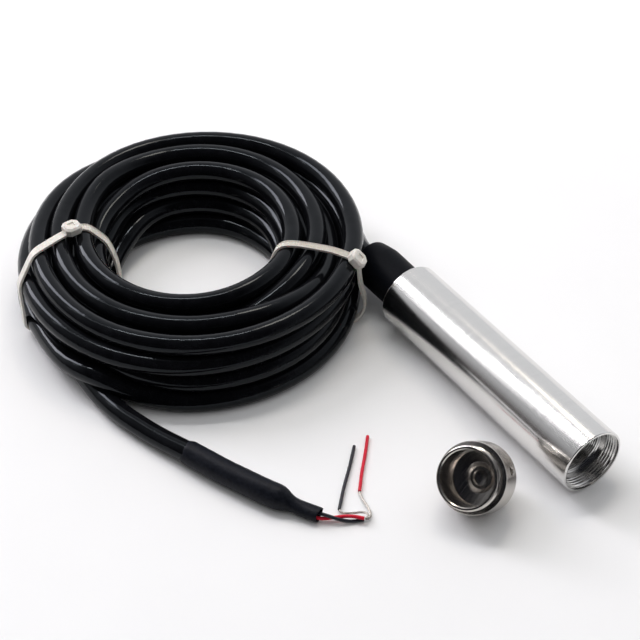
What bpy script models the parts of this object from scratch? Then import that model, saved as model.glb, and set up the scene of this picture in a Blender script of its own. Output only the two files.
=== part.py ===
"""Submersible level transmitter with its nose cap off and its cable coiled.

Metres, +Z up.  The steel probe lies on the floor along X with its open mouth
towards +X.  The nose cap lies beside the mouth on the flank of its cone.  The
cable leaves the rubber boot at the tail, is wound into a coil held by two
ties, and ends in a shrink sleeve with two stripped leads.

The origin is the middle of the probe and its cap on the floor, without the
cable.  Depths in the probe and the cap are measured back from their mouths.
"""
import math

import bpy
import bmesh
from mathutils import Matrix, Vector

# Clearances
GAP = 0.0003                 # between pieces that touch or slide on each other
CABLE_SLACK = 0.0003         # round the cable where it passes a hole

# Probe housing
TUBE_DIAMETER = 0.0260
TUBE_LENGTH = 0.1100
TUBE_REAR_ROUND = 0.0009
RIM_CHAMFER = 0.0003
MOUTH_RADIUS = 0.01215       # lead-in of the nose thread
MOUTH_LEAD = 0.0008
NOSE_THREAD_RADIUS = 0.0118  # mean radius of the female thread
NOSE_THREAD_DEPTH = 0.0060
RELIEF_LENGTH = 0.0015
STEP_CHAMFER = 0.0004
RING_THREAD_RADIUS = 0.0101  # mean radius of the sensor ring's thread
RING_THREAD_LENGTH = 0.0105
LIP_INNER_RADIUS = 0.0080
LIP_LENGTH = 0.0030
CHAMBER_RADIUS = 0.0100
REAR_BORE_RADIUS = 0.0104
REAR_BORE_LENGTH = 0.0235

# Pressure sensor
SENSOR_DIAMETER = 0.0190
SENSOR_LENGTH = 0.0150
SENSOR_RIM = 0.0010          # wall round the diaphragm
DIAPHRAGM_RECESS = 0.0016
DIAPHRAGM_THICKNESS = 0.0003
DIAPHRAGM_WAVE = 0.00015
WELD_RING_WIDTH = 0.0010
O_RING_SECTION = 0.0015
O_RING_DEPTH = 0.0086        # from the sensor's front to the groove
O_RING_GROOVE = 0.0021
HEADER_RADIUS = 0.0062
HEADER_DEPTH = 0.0020
PIN_COUNT = 5
PIN_RADIUS = 0.0003
PIN_CIRCLE = 0.0042
PIN_LENGTH = 0.0030

# Ring that holds the sensor
RING_INNER_RADIUS = 0.0065
RING_LENGTH = 0.0040
SPANNER_SLOT_WIDTH = 0.0020
SPANNER_SLOT_DEPTH = 0.0012

# Electronics
SLEEVE_WALL = 0.0005
SLEEVE_CLEAR = 0.0024        # from the sleeve's end to the rear bore
HOLDER_THICKNESS = 0.0030
HOLDER_SLOT_DEPTH = 0.0018
WIRE_HOLE_RADIUS = 0.0018
WIRE_HOLE_OFFSET = 0.0047
BOARD_WIDTH = 0.0165
BOARD_THICKNESS = 0.0016
JUMPER_RADIUS = 0.0010       # bundle of fine wires from the sensor's pins
JUMPER_LANDING = 0.0040      # from the board's front edge
# name, share of the board's length from its front edge, across, then its own
# size along the board, across it, and its height
CHIPS = (
    ("amplifier_chip", 0.39, 0.0, 0.0049, 0.0039, 0.0018),
    ("output_transistor", 0.73, 0.0036, 0.0045, 0.0040, 0.0016),
    ("protection_diode", 0.73, -0.0040, 0.0043, 0.0026, 0.0020),
)
TRIMMER_SIZE = 0.0042
TRIMMER_HEIGHT = 0.0038
TRIMMER_SCREW_RADIUS = 0.0011
TRIMMER_SCREW_DEPTH = 0.0006
TRIMMERS = (("zero_trimmer", 0.57, -0.0040), ("span_trimmer", 0.57, 0.0040))
CAPACITOR_RADIUS = 0.0020
CAPACITOR_LENGTH = 0.0055
CAPACITOR_SHARE = 0.22

# Cable gland at the rear
GLAND_LENGTH = 0.0160
GLAND_FRONT_WALL = 0.0030
GLAND_WALL = 0.0019
WASHER_THICKNESS = 0.0012
GROMMET_LENGTH = 0.0055
NUT_HEX_FLATS = 0.0120
NUT_THREAD_LENGTH = 0.0022
NUT_HEX_LENGTH = 0.0030

# Rubber boot
BOOT_FLANGE_LENGTH = 0.0022
BOOT_RADIUS = 0.0092
BOOT_KINK_RADIUS = 0.0094
BOOT_END_RADIUS = 0.0082
BOOT_STRAIGHT = 0.0180
BOOT_LENGTH = 0.0263         # outside the tube
BOOT_END_ROUND = 0.0013

# Nose cap
CAP_DIAMETER = 0.0260
CAP_NOSE_ANGLE = math.radians(40.0)      # cone flank to the axis
CAP_RIM_RADIUS = 0.01105
CAP_INNER_CHAMFER = 0.0004
CAP_BORE_RADIUS = 0.0094
CAP_BORE_DEPTH = 0.01305
CAP_CHAMFER = 0.0007
CAP_THREAD_LENGTH = 0.0031   # with its chamfer
CAP_UNDERCUT = 0.0006
CAP_SHOULDER = 0.0049
CAP_EDGE = 0.0004
CAP_BODY_END = 0.01495
CAP_TIP_RADIUS = 0.0050
CAP_RECESS_RADIUS = 0.0056
CAP_RECESS_FLOOR_RADIUS = 0.0041
CAP_RECESS_DEPTH = 0.0012
CAP_DRILL_RADIUS = 0.0028
CAP_DRILL_DEPTH = 0.0016
CAP_DRILL_POINT = 0.0009
INLET_COUNT = 4
INLET_BACK = 0.01075
INLET_TURN = math.radians(34.0)
INLET_OUTER_RADIUS = 0.0015
INLET_OUTER_DEPTH = 0.0018
INLET_RADIUS = 0.0006
CAP_RIM_FROM_MOUTH = (-0.0140, -0.0458)  # middle of its rim, from the probe's mouth
CAP_HEADING = math.radians(-67.9)

# Cable
CABLE_DIAMETER = 0.0080
CABLE_INSIDE = 0.0020        # stands out of the gland towards the board
CABLE_SPACING = 0.0056       # between the bends of the laid cable
LEAD_RADIUS = 0.0007
VENT_RADIUS = 0.0008
WIRING_SPACE = 0.0049        # from the rear holder to the cable's cut end
WIRE_STRAIGHT = 0.0012       # straight start of each wire at the cable's cut end
WIRE_SPACING = 0.0015        # between the bends of an inner wire
VENT_SPACING = 0.0035
VENT_START_UP = -0.0012      # of the vent tube behind the sensor, off the axis
VENT_STRAIGHT = 0.0030
SOLDER_SIDE = 0.0022         # of each lead on the board, off the axis
LEAD_LANDING = 0.0052        # from the board's rear edge

# Coil
COIL_BACK = 0.0350           # from the boot's end to the coil's middle
COIL_SIDE = 0.0063           # from the probe's axis to the coil's lowest outer turn
COIL_LOW_RADIUS = 0.0668     # outermost turn of the lowest layer, to its centre line
COIL_MID_STEP = 0.0007       # the outermost turns higher up lie this far inside it
COIL_TOP_STEP = 0.0019
COIL_INNER_RADIUS = 0.0360
COIL_TOP_HEIGHT = 0.0252     # centre line of the top layer
COIL_OVAL = 0.00235
COIL_OVAL_HEADING = math.radians(-35.5)
COIL_DENT = 0.0088           # where the boot and the lead-in lie against it
COIL_DENT_HEADING = math.radians(67.0)
COIL_DENT_SPAN = math.radians(30.0)

# Cable ties
TIE_WIDTH = 0.0034
TIE_THICKNESS = 0.0012
TIE_HEAD_LENGTH = 0.0070
TIE_HEAD_WIDTH = 0.0064
TIE_HEAD_HEIGHT = 0.0034
TIE_HEAD_ROUND = 0.0008
TIE_SPACING = 0.0060         # between the bends of a strap where it lies flat
# name, headings at the inner wall, on top and at the outer wall, then the shares of
# the way round the section, from low inside, of the top heading and of the head
TIES = (
    ("tie_left", math.radians(-126.0), math.radians(-129.0), math.radians(-106.0), 0.76, 0.71),
    ("tie_right", math.radians(35.0), math.radians(44.0), math.radians(41.0), 0.74, 0.55),
)

# Free cable: the lead-in is from the floor under the boot's end, and the tail and what
# is on it are from the floor under the coil's lowest outer turn, at the tail's heading
TAIL_HEADING = math.radians(-54.0)
LEAD_IN_ROUTE = (
    (-0.0003, 0.0000, 0.0130), (-0.0033, 0.0000, 0.0130), (-0.0097, 0.0018, 0.0121),
    (-0.0157, 0.0056, 0.0101), (-0.0217, 0.0096, 0.0077), (-0.0287, 0.0130, 0.0056),
    (-0.0367, 0.0148, 0.0046), (-0.0447, 0.0146, 0.0044), (-0.0527, 0.0128, 0.0044),
)
TAIL_ROUTE = (
    (0.0058, -0.0076, 0.0043), (0.0140, -0.0063, 0.0043), (0.0216, -0.0041, 0.0043),
    (0.0305, -0.0013, 0.0044), (0.0370, 0.0011, 0.0047), (0.0401, 0.0022, 0.0047),
)
SLEEVE_ROUTE = (
    (0.0406, 0.0024, 0.0049), (0.0470, 0.0047, 0.0049), (0.0565, 0.0082, 0.0049),
    (0.0704, 0.0141, 0.0049), (0.0765, 0.0172, 0.0046),
    (0.0806, 0.0197, 0.0036), (0.0855, 0.0225, 0.0029), (0.0910, 0.0257, 0.0028),
)
SLEEVE_RADIUS = 0.0046
SLEEVE_NECK_RADIUS = 0.0027
SLEEVE_NECK_START = 0.70     # share of the sleeve's length where it starts to close
SLEEVE_NECK_END = 0.83
SLEEVE_MOUTH_DEPTH = 0.0045
SLEEVE_MOUTH_WALL = 0.0004
SLEEVE_SPACING = 0.0022
SLEEVE_SIDES = 16

# Stripped leads
WIRE_RADIUS = 0.00065
WIRE_TWIST = math.radians(300.0)
WIRE_SPREAD = 0.00085        # from the middle of the pair
PAIR_SPACING = 0.0009
PAIR_ROUTE = (
    (0.0880, 0.0237, 0.0026), (0.0910, 0.0257, 0.0024), (0.0940, 0.0293, 0.0020),
    (0.0968, 0.0331, 0.0017), (0.0990, 0.0363, 0.0016), (0.1004, 0.0383, 0.0016),
)
STRAND_RADIUS = 0.00045
STRAND_SPACING = 0.0008
BLACK_STRAND_ROUTE = (
    (0.1009, 0.0383, 0.0023), (0.1011, 0.0390, 0.0023), (0.1003, 0.0400, 0.0023),
    (0.0988, 0.0402, 0.0021), (0.0972, 0.0391, 0.0017), (0.0957, 0.0370, 0.0012),
    (0.0934, 0.0341, 0.0009), (0.0916, 0.0337, 0.0009),
)
RED_STRAND_ROUTE = (
    (0.1002, 0.0388, 0.0009), (0.1005, 0.0395, 0.0009), (0.1005, 0.0407, 0.0010),
    (0.0993, 0.0418, 0.0010), (0.0960, 0.0429, 0.0010), (0.0918, 0.0436, 0.0009),
    (0.0884, 0.0447, 0.0009),
)
TIP_RADIUS = 0.00062
TIP_SPACING = 0.0040
BLACK_TIP = ((0.0913, 0.0339, 0.0009), (0.0686, 0.0562, 0.0009))
RED_TIP = ((0.0881, 0.0449, 0.0009), (0.0672, 0.0632, 0.0009))

# Faceting
ROUND_BIG = 40
ROUND_MIDDLE = 32
ROUND_DISC = 24
ROUND_SMALL = 20
ROUND_HOLE = 12
ROUND_PIN = 8
COIL_STEPS = 48
COIL_CORNER_STEPS = 3

# Sizes and places that follow from the ones above
TUBE_RADIUS = TUBE_DIAMETER / 2
CAP_RADIUS = CAP_DIAMETER / 2
CABLE_RADIUS = CABLE_DIAMETER / 2
SENSOR_RADIUS = SENSOR_DIAMETER / 2
SEAT_RADIUS = SENSOR_RADIUS + GAP
STEP_AT = NOSE_THREAD_DEPTH + RELIEF_LENGTH
SEAT_AT = STEP_AT + RING_THREAD_LENGTH
LIP_AT = SEAT_AT + SENSOR_LENGTH + GAP
CHAMBER_AT = LIP_AT + LIP_LENGTH
REAR_BORE_AT = TUBE_LENGTH - REAR_BORE_LENGTH
GLAND_AT = REAR_BORE_AT + GAP
GLAND_RADIUS = REAR_BORE_RADIUS - GAP
GLAND_CAVITY_RADIUS = GLAND_RADIUS - GLAND_WALL
CABLE_HOLE_RADIUS = CABLE_RADIUS + CABLE_SLACK
PROBE_LENGTH = TUBE_LENGTH + BOOT_LENGTH
MOUTH_X = PROBE_LENGTH / 2
CABLE_FRONT_AT = GLAND_AT - CABLE_INSIDE
SLEEVE_OUTER_RADIUS = CHAMBER_RADIUS - GAP
SLEEVE_INNER_RADIUS = SLEEVE_OUTER_RADIUS - SLEEVE_WALL
SLEEVE_AT = CHAMBER_AT + GAP
HOLDER_RADIUS = SLEEVE_INNER_RADIUS - GAP
FRONT_HOLDER_AT = SLEEVE_AT + GAP
BOARD_AT = FRONT_HOLDER_AT + HOLDER_THICKNESS - HOLDER_SLOT_DEPTH + GAP
REAR_HOLDER_AT = CABLE_FRONT_AT - WIRING_SPACE - HOLDER_THICKNESS
BOARD_LENGTH = REAR_HOLDER_AT + HOLDER_SLOT_DEPTH - GAP - BOARD_AT
SLEEVE_LENGTH = REAR_BORE_AT - SLEEVE_CLEAR - SLEEVE_AT
BOARD_TOP = BOARD_THICKNESS / 2
CAP_LENGTH = CAP_BODY_END + (CAP_RADIUS - CAP_TIP_RADIUS) / math.tan(CAP_NOSE_ANGLE)
CAP_THREAD_RADIUS = NOSE_THREAD_RADIUS - GAP
COIL_LOW_HEIGHT = CABLE_RADIUS + TIE_THICKNESS + GAP
COIL_MID_RADIUS = COIL_LOW_RADIUS - COIL_MID_STEP
COIL_TOP_RADIUS = COIL_LOW_RADIUS - COIL_TOP_STEP
COIL_MIDDLE = (-COIL_BACK, COIL_SIDE - COIL_LOW_RADIUS)


def cap_axis():
    """Direction from the nose out of the cap's mouth, as it lies on its cone."""
    level = math.cos(CAP_NOSE_ANGLE)
    return Vector((level * math.cos(CAP_HEADING), level * math.sin(CAP_HEADING),
                   math.sin(CAP_NOSE_ANGLE)))


def cap_outline():
    """Closed outline of the turned cap: depth behind its rim, and radius."""
    return [
        (0.0, CAP_BORE_RADIUS + CAP_INNER_CHAMFER),
        (0.0, CAP_RIM_RADIUS),
        (CAP_CHAMFER, CAP_THREAD_RADIUS),
        (CAP_THREAD_LENGTH, CAP_THREAD_RADIUS),
        (CAP_THREAD_LENGTH + CAP_UNDERCUT, CAP_THREAD_RADIUS - CAP_UNDERCUT),
        (CAP_SHOULDER, CAP_THREAD_RADIUS - CAP_UNDERCUT),
        (CAP_SHOULDER, CAP_RADIUS - CAP_EDGE),
        (CAP_SHOULDER + CAP_EDGE, CAP_RADIUS),
        (CAP_BODY_END, CAP_RADIUS),
        (CAP_LENGTH, CAP_TIP_RADIUS),
        (CAP_LENGTH, 0.0),
        (CAP_BORE_DEPTH + CAP_RECESS_DEPTH + CAP_DRILL_DEPTH + CAP_DRILL_POINT, 0.0),
        (CAP_BORE_DEPTH + CAP_RECESS_DEPTH + CAP_DRILL_DEPTH, CAP_DRILL_RADIUS),
        (CAP_BORE_DEPTH + CAP_RECESS_DEPTH, CAP_DRILL_RADIUS),
        (CAP_BORE_DEPTH + CAP_RECESS_DEPTH, CAP_RECESS_FLOOR_RADIUS),
        (CAP_BORE_DEPTH, CAP_RECESS_RADIUS),
        (CAP_BORE_DEPTH, CAP_BORE_RADIUS),
        (CAP_INNER_CHAMFER, CAP_BORE_RADIUS),
    ]


def reach(outline, axis, direction):
    """How far a turned outline reaches from its rim's middle along a direction."""
    along = axis.dot(direction)
    across = math.sqrt(max(0.0, 1.0 - along * along))
    return max(radius * across - depth * along for depth, radius in outline)


CAP_FRONT_Y = CAP_RIM_FROM_MOUTH[1] - reach(cap_outline(), cap_axis(), Vector((0, -1, 0)))
PROBE_Y = -(TUBE_RADIUS + CAP_FRONT_Y) / 2
CAP_RIM_Z = reach(cap_outline(), cap_axis(), Vector((0, 0, -1)))


def from_mouth(x, y, z):
    """A point given from the floor under the probe's mouth, in the part's frame."""
    return Vector((MOUTH_X + x, PROBE_Y + y, z))


def from_boot(x, y, z):
    """A point given from the floor under the boot's end, in the part's frame."""
    return from_mouth(x - PROBE_LENGTH, y, z)


def in_probe(depth, across=0.0, up=0.0):
    """A point inside the probe: depth behind the mouth, and off its axis."""
    return Vector((MOUTH_X - depth, PROBE_Y + across, TUBE_RADIUS + up))


def clear_scene():
    for obj in list(bpy.data.objects):
        bpy.data.objects.remove(obj, do_unlink=True)


def material(name, colour, roughness, metallic=0.0):
    """The named Principled material, made once."""
    found = bpy.data.materials.get(name)
    if found:
        return found
    made = bpy.data.materials.new(name)
    made.use_nodes = True
    shader = made.node_tree.nodes["Principled BSDF"]
    shader.inputs["Base Color"].default_value = (*colour, 1.0)
    shader.inputs["Roughness"].default_value = roughness
    shader.inputs["Metallic"].default_value = metallic
    return made


STEEL = ("stainless_steel", (0.55, 0.55, 0.53), 0.25, 1.0)
FOIL = ("diaphragm_foil", (0.60, 0.60, 0.60), 0.15, 1.0)
PLATED = ("nickel_plated_brass", (0.50, 0.47, 0.40), 0.30, 1.0)
GOLD_PINS = ("gold_plated_pins", (0.80, 0.58, 0.25), 0.30, 1.0)
SEAL_RUBBER = ("seal_rubber", (0.02, 0.02, 0.02), 0.60, 0.0)
BOOT_RUBBER = ("boot_rubber", (0.025, 0.027, 0.032), 0.65, 0.0)
BOARD_GREEN = ("board_laminate", (0.02, 0.16, 0.07), 0.45, 0.0)
CHIP_BLACK = ("chip_epoxy", (0.03, 0.03, 0.03), 0.50, 0.0)
TRIMMER_BLUE = ("trimmer_blue", (0.03, 0.12, 0.45), 0.45, 0.0)
CAN_ALUMINIUM = ("capacitor_can", (0.65, 0.65, 0.66), 0.35, 1.0)
FILM_AMBER = ("jumper_film", (0.55, 0.26, 0.04), 0.35, 0.0)
HOLDER_NYLON = ("holder_nylon", (0.75, 0.73, 0.66), 0.50, 0.0)
SLEEVE_FILM = ("insulating_film", (0.80, 0.80, 0.72), 0.40, 0.0)
CABLE_JACKET = ("cable_jacket", (0.012, 0.012, 0.014), 0.22, 0.0)
SHRINK_BLACK = ("shrink_sleeve", (0.016, 0.018, 0.024), 0.55, 0.0)
WIRE_RED = ("red_insulation", (0.60, 0.02, 0.05), 0.35, 0.0)
WIRE_BLACK = ("black_insulation", (0.012, 0.014, 0.022), 0.35, 0.0)
VENT_CLEAR = ("vent_tube_plastic", (0.75, 0.76, 0.78), 0.30, 0.0)
TINNED_COPPER = ("tinned_copper", (0.65, 0.63, 0.58), 0.35, 1.0)
TIE_NYLON = ("tie_nylon", (0.80, 0.77, 0.70), 0.40, 0.0)


def finish_mesh(name, bm, finish):
    """Turns a bmesh into a named object with its own material."""
    bmesh.ops.recalc_face_normals(bm, faces=bm.faces)
    mesh = bpy.data.meshes.new(name)
    bm.to_mesh(mesh)
    bm.free()
    obj = bpy.data.objects.new(name, mesh)
    bpy.context.scene.collection.objects.link(obj)
    mesh.materials.append(material(*finish))
    mesh.shade_smooth()
    mesh.set_sharp_from_angle(angle=math.radians(35))
    return obj


def turned(name, outline, finish, steps=ROUND_SMALL):
    """A solid of revolution about local X; the outline is (depth behind +X, radius)."""
    bm = bmesh.new()
    verts = [bm.verts.new((-depth, radius, 0.0)) for depth, radius in outline]
    count = len(verts)
    edges = []
    for index in range(count):
        start, end = verts[index], verts[(index + 1) % count]
        if outline[index][1] > 0 or outline[(index + 1) % count][1] > 0:
            edges.append(bm.edges.new((start, end)))
    bmesh.ops.spin(bm, geom=verts + edges, cent=(0, 0, 0), axis=(1, 0, 0),
                   angle=2 * math.pi, steps=steps, use_merge=True)
    bmesh.ops.remove_doubles(bm, verts=bm.verts, dist=1e-7)
    return finish_mesh(name, bm, finish)


def in_housing(obj, depth=0.0, across=0.0, up=0.0):
    """Puts an object with its local front at a depth in the probe."""
    obj.location = in_probe(depth, across, up)
    return obj


def ring(name, front, length, inner, outer, finish, steps=ROUND_SMALL):
    """A plain washer or sleeve on the probe's axis."""
    outline = [(0.0, inner), (0.0, outer), (length, outer), (length, inner)]
    return in_housing(turned(name, outline, finish, steps), front)


def block(name, length, width, height, finish):
    """A box centred on its own origin."""
    bm = bmesh.new()
    bmesh.ops.create_cube(bm, size=1.0)
    bmesh.ops.scale(bm, verts=bm.verts, vec=(length, width, height))
    return finish_mesh(name, bm, finish)


def cylinder_between(name, start, end, radius, steps=ROUND_PIN):
    """A round bar between two points, used as a piece or as a cutter."""
    bm = bmesh.new()
    run = end - start
    turn = run.to_track_quat("Z", "Y").to_matrix().to_4x4()
    bmesh.ops.create_cone(bm, cap_ends=True, segments=steps, radius1=radius, radius2=radius,
                          depth=run.length, matrix=Matrix.Translation((start + end) / 2) @ turn)
    return finish_mesh(name, bm, STEEL)


def cut(target, cutter):
    """Cuts one object out of another with an exact Boolean."""
    cutter.hide_render = True
    cutter.display_type = "WIRE"
    modifier = target.modifiers.new(cutter.name, "BOOLEAN")
    modifier.operation = "DIFFERENCE"
    modifier.solver = "EXACT"
    modifier.object = cutter


def join(target, other):
    """Unites a second shape with an object by an exact Boolean."""
    other.hide_render = True
    other.display_type = "WIRE"
    modifier = target.modifiers.new(other.name, "BOOLEAN")
    modifier.operation = "UNION"
    modifier.solver = "EXACT"
    modifier.object = other


def arc(centre_depth, centre_radius, radius, start, end, steps):
    """Points of an arc in an outline's plane, angles in degrees from +depth."""
    points = []
    for step in range(steps + 1):
        angle = math.radians(start + (end - start) * step / steps)
        points.append((centre_depth + radius * math.cos(angle),
                       centre_radius + radius * math.sin(angle)))
    return points


def smooth_route(points, spacing):
    """Points of an even spacing along a smooth curve through the chosen points."""
    chain = [2 * points[0] - points[1], *points, 2 * points[-1] - points[-2]]
    fine = []
    for index in range(1, len(chain) - 2):
        before, start, end, after = chain[index - 1:index + 3]
        for step in range(24):
            t = step / 24
            fine.append(0.5 * ((2 * start) + (end - before) * t
                               + (2 * before - 5 * start + 4 * end - after) * t ** 2
                               + (3 * start - before - 3 * end + after) * t ** 3))
    fine.append(points[-1])
    total = sum((b - a).length for a, b in zip(fine, fine[1:]))
    count = max(3, round(total / spacing))
    even = [fine[0]]
    travelled = 0.0
    for start, end in zip(fine, fine[1:]):
        run = (end - start).length
        while len(even) < count and travelled + run >= total * len(even) / count:
            share = (total * len(even) / count - travelled) / run
            even.append(start.lerp(end, share))
        travelled += run
    even.append(fine[-1])
    return even


def square_ends(route, points, inset):
    """The points with each end's face kept square to the route there."""
    first = points[0] + (route[1] - route[0]).normalized() * inset
    last = points[-1] + (route[-2] - route[-1]).normalized() * inset
    return [points[0], first, *points[1:-1], last, points[-1]]


def tube(name, points, radius, finish, resolution=2):
    """A cord's tube: a poly curve with a round bevel and filled caps."""
    curve = bpy.data.curves.new(name, "CURVE")
    curve.dimensions = "3D"
    curve.bevel_depth = radius
    curve.bevel_resolution = resolution
    curve.use_fill_caps = True
    spline = curve.splines.new("POLY")
    spline.points.add(len(points) - 1)
    for index, point in enumerate(points):
        spline.points[index].co = (*point, 1.0)
    obj = bpy.data.objects.new(name, curve)
    bpy.context.scene.collection.objects.link(obj)
    curve.materials.append(material(*finish))
    return obj


def laid(name, route, spacing, radius, finish, resolution=2):
    """A tube along a smooth curve through the route's own points."""
    points = square_ends(route, smooth_route(route, spacing), 0.3 * spacing)
    return tube(name, points, radius, finish, resolution)


def from_coil(x, y, z):
    """A point given from the coil's lowest outer turn where the tail leaves it."""
    return from_boot(COIL_MIDDLE[0] + COIL_LOW_RADIUS * math.cos(TAIL_HEADING) + x,
                     COIL_MIDDLE[1] + COIL_LOW_RADIUS * math.sin(TAIL_HEADING) + y, z)


def routed(route):
    return [from_coil(*point) for point in route]


def build_housing():
    """One turned piece: nose thread, sensor seat, lip, chamber and rear bore."""
    rim = TUBE_RADIUS - RIM_CHAMFER
    outline = [
        (0.0, MOUTH_RADIUS),
        (0.0, rim),
        (RIM_CHAMFER, TUBE_RADIUS),
        *arc(TUBE_LENGTH - TUBE_REAR_ROUND, TUBE_RADIUS - TUBE_REAR_ROUND, TUBE_REAR_ROUND,
             90, 0, 3),
        (TUBE_LENGTH, REAR_BORE_RADIUS),
        (REAR_BORE_AT, REAR_BORE_RADIUS),
        (REAR_BORE_AT, CHAMBER_RADIUS),
        (CHAMBER_AT, CHAMBER_RADIUS),
        (CHAMBER_AT, LIP_INNER_RADIUS),
        (LIP_AT, LIP_INNER_RADIUS),
        (LIP_AT, SEAT_RADIUS),
        (SEAT_AT, SEAT_RADIUS),
        (SEAT_AT, RING_THREAD_RADIUS),
        (STEP_AT + STEP_CHAMFER, RING_THREAD_RADIUS),
        (STEP_AT, RING_THREAD_RADIUS + STEP_CHAMFER),
        (STEP_AT, MOUTH_RADIUS),
        (NOSE_THREAD_DEPTH, MOUTH_RADIUS),
        (NOSE_THREAD_DEPTH, NOSE_THREAD_RADIUS),
        (MOUTH_LEAD, NOSE_THREAD_RADIUS),
        (MOUTH_LEAD, MOUTH_RADIUS),
    ]
    in_housing(turned("probe_housing", outline, STEEL, ROUND_BIG))


def build_sensor():
    """Sensor cell: body with its groove and header, diaphragm, weld ring, seal and pins."""
    face_radius = SENSOR_RADIUS - SENSOR_RIM
    groove_radius = SEAT_RADIUS - GAP - O_RING_SECTION - GAP
    groove_end = O_RING_DEPTH + O_RING_GROOVE
    outline = [
        (0.0, face_radius),
        (0.0, SENSOR_RADIUS),
        (O_RING_DEPTH, SENSOR_RADIUS),
        (O_RING_DEPTH, groove_radius),
        (groove_end, groove_radius),
        (groove_end, SENSOR_RADIUS),
        (SENSOR_LENGTH, SENSOR_RADIUS),
        (SENSOR_LENGTH, HEADER_RADIUS),
        (SENSOR_LENGTH - HEADER_DEPTH, HEADER_RADIUS),
        (SENSOR_LENGTH - HEADER_DEPTH, 0.0),
        (DIAPHRAGM_RECESS, 0.0),
        (DIAPHRAGM_RECESS, face_radius),
    ]
    in_housing(turned("sensor_body", outline, STEEL, ROUND_MIDDLE), SEAT_AT)

    disc_radius = face_radius - GAP
    rings = 6
    front, back = [], []
    for index in range(rings + 1):
        radius = disc_radius * index / rings
        wave = DIAPHRAGM_WAVE * math.cos(math.pi * index)
        front.append((wave, radius))
        back.append((wave + DIAPHRAGM_THICKNESS, radius))
    disc_at = SEAT_AT + DIAPHRAGM_RECESS - GAP - DIAPHRAGM_WAVE - DIAPHRAGM_THICKNESS
    in_housing(turned("sensor_diaphragm", front + back[::-1], FOIL, ROUND_DISC), disc_at)

    weld_length = disc_at - DIAPHRAGM_WAVE - GAP - SEAT_AT
    ring("diaphragm_weld_ring", SEAT_AT, weld_length, disc_radius - WELD_RING_WIDTH,
         disc_radius, STEEL, ROUND_DISC)

    half = O_RING_SECTION / 2
    seal = arc(0.0, SEAT_RADIUS - GAP - half, half, 0, 315, 7)
    in_housing(turned("sensor_o_ring", seal, SEAL_RUBBER, ROUND_DISC),
               SEAT_AT + O_RING_DEPTH + O_RING_GROOVE / 2)

    header_at = SEAT_AT + SENSOR_LENGTH - HEADER_DEPTH + GAP
    for index in range(PIN_COUNT):
        angle = 2 * math.pi * index / PIN_COUNT + math.pi / 2
        across = PIN_CIRCLE * math.cos(angle)
        up = PIN_CIRCLE * math.sin(angle)
        pin = cylinder_between(f"sensor_pin_{index + 1}", in_probe(header_at, across, up),
                               in_probe(header_at + PIN_LENGTH, across, up), PIN_RADIUS)
        pin.data.materials[0] = material(*GOLD_PINS)


def build_retaining_ring():
    """Threaded ring that presses the sensor home, with two spanner slots."""
    front = SEAT_AT - GAP - RING_LENGTH
    outer = RING_THREAD_RADIUS - GAP
    body = ring("sensor_retaining_ring", front, RING_LENGTH, RING_INNER_RADIUS, outer, STEEL,
                ROUND_MIDDLE)
    slot = block("spanner_slot_cutter", 2 * SPANNER_SLOT_DEPTH, 3 * outer, SPANNER_SLOT_WIDTH, STEEL)
    in_housing(slot, front)
    cut(body, slot)


def build_board_holder(name, front, slot_side):
    """A nylon disc with a slot for the board's edge and two holes for the wires."""
    body = ring(name, front, HOLDER_THICKNESS, 0.0, HOLDER_RADIUS, HOLDER_NYLON, ROUND_DISC)
    slot = block(f"{name}_slot_cutter", 2 * HOLDER_SLOT_DEPTH, BOARD_WIDTH + 2 * GAP,
                 BOARD_THICKNESS + 2 * GAP, HOLDER_NYLON)
    in_housing(slot, front + (HOLDER_THICKNESS if slot_side > 0 else 0.0))
    cut(body, slot)
    for side in (1, -1):
        hole = cylinder_between(f"{name}_hole_cutter_{side}",
                                in_probe(front - HOLDER_THICKNESS, 0.0, side * WIRE_HOLE_OFFSET),
                                in_probe(front + 2 * HOLDER_THICKNESS, 0.0,
                                         side * WIRE_HOLE_OFFSET), WIRE_HOLE_RADIUS, ROUND_HOLE)
        cut(body, hole)


def build_trimmer(name, back, across):
    """A square trimming potentiometer with its slotted screw sunk in the top."""
    base = BOARD_TOP + GAP
    body = block(name, TRIMMER_SIZE, TRIMMER_SIZE, TRIMMER_HEIGHT, TRIMMER_BLUE)
    in_housing(body, BOARD_AT + back, across, base + TRIMMER_HEIGHT / 2)
    top = base + TRIMMER_HEIGHT
    well = cylinder_between(f"{name}_screw_cutter",
                            in_probe(BOARD_AT + back, across, top - TRIMMER_SCREW_DEPTH),
                            in_probe(BOARD_AT + back, across, top + TRIMMER_SCREW_DEPTH),
                            TRIMMER_SCREW_RADIUS, ROUND_HOLE)
    cut(body, well)


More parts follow.
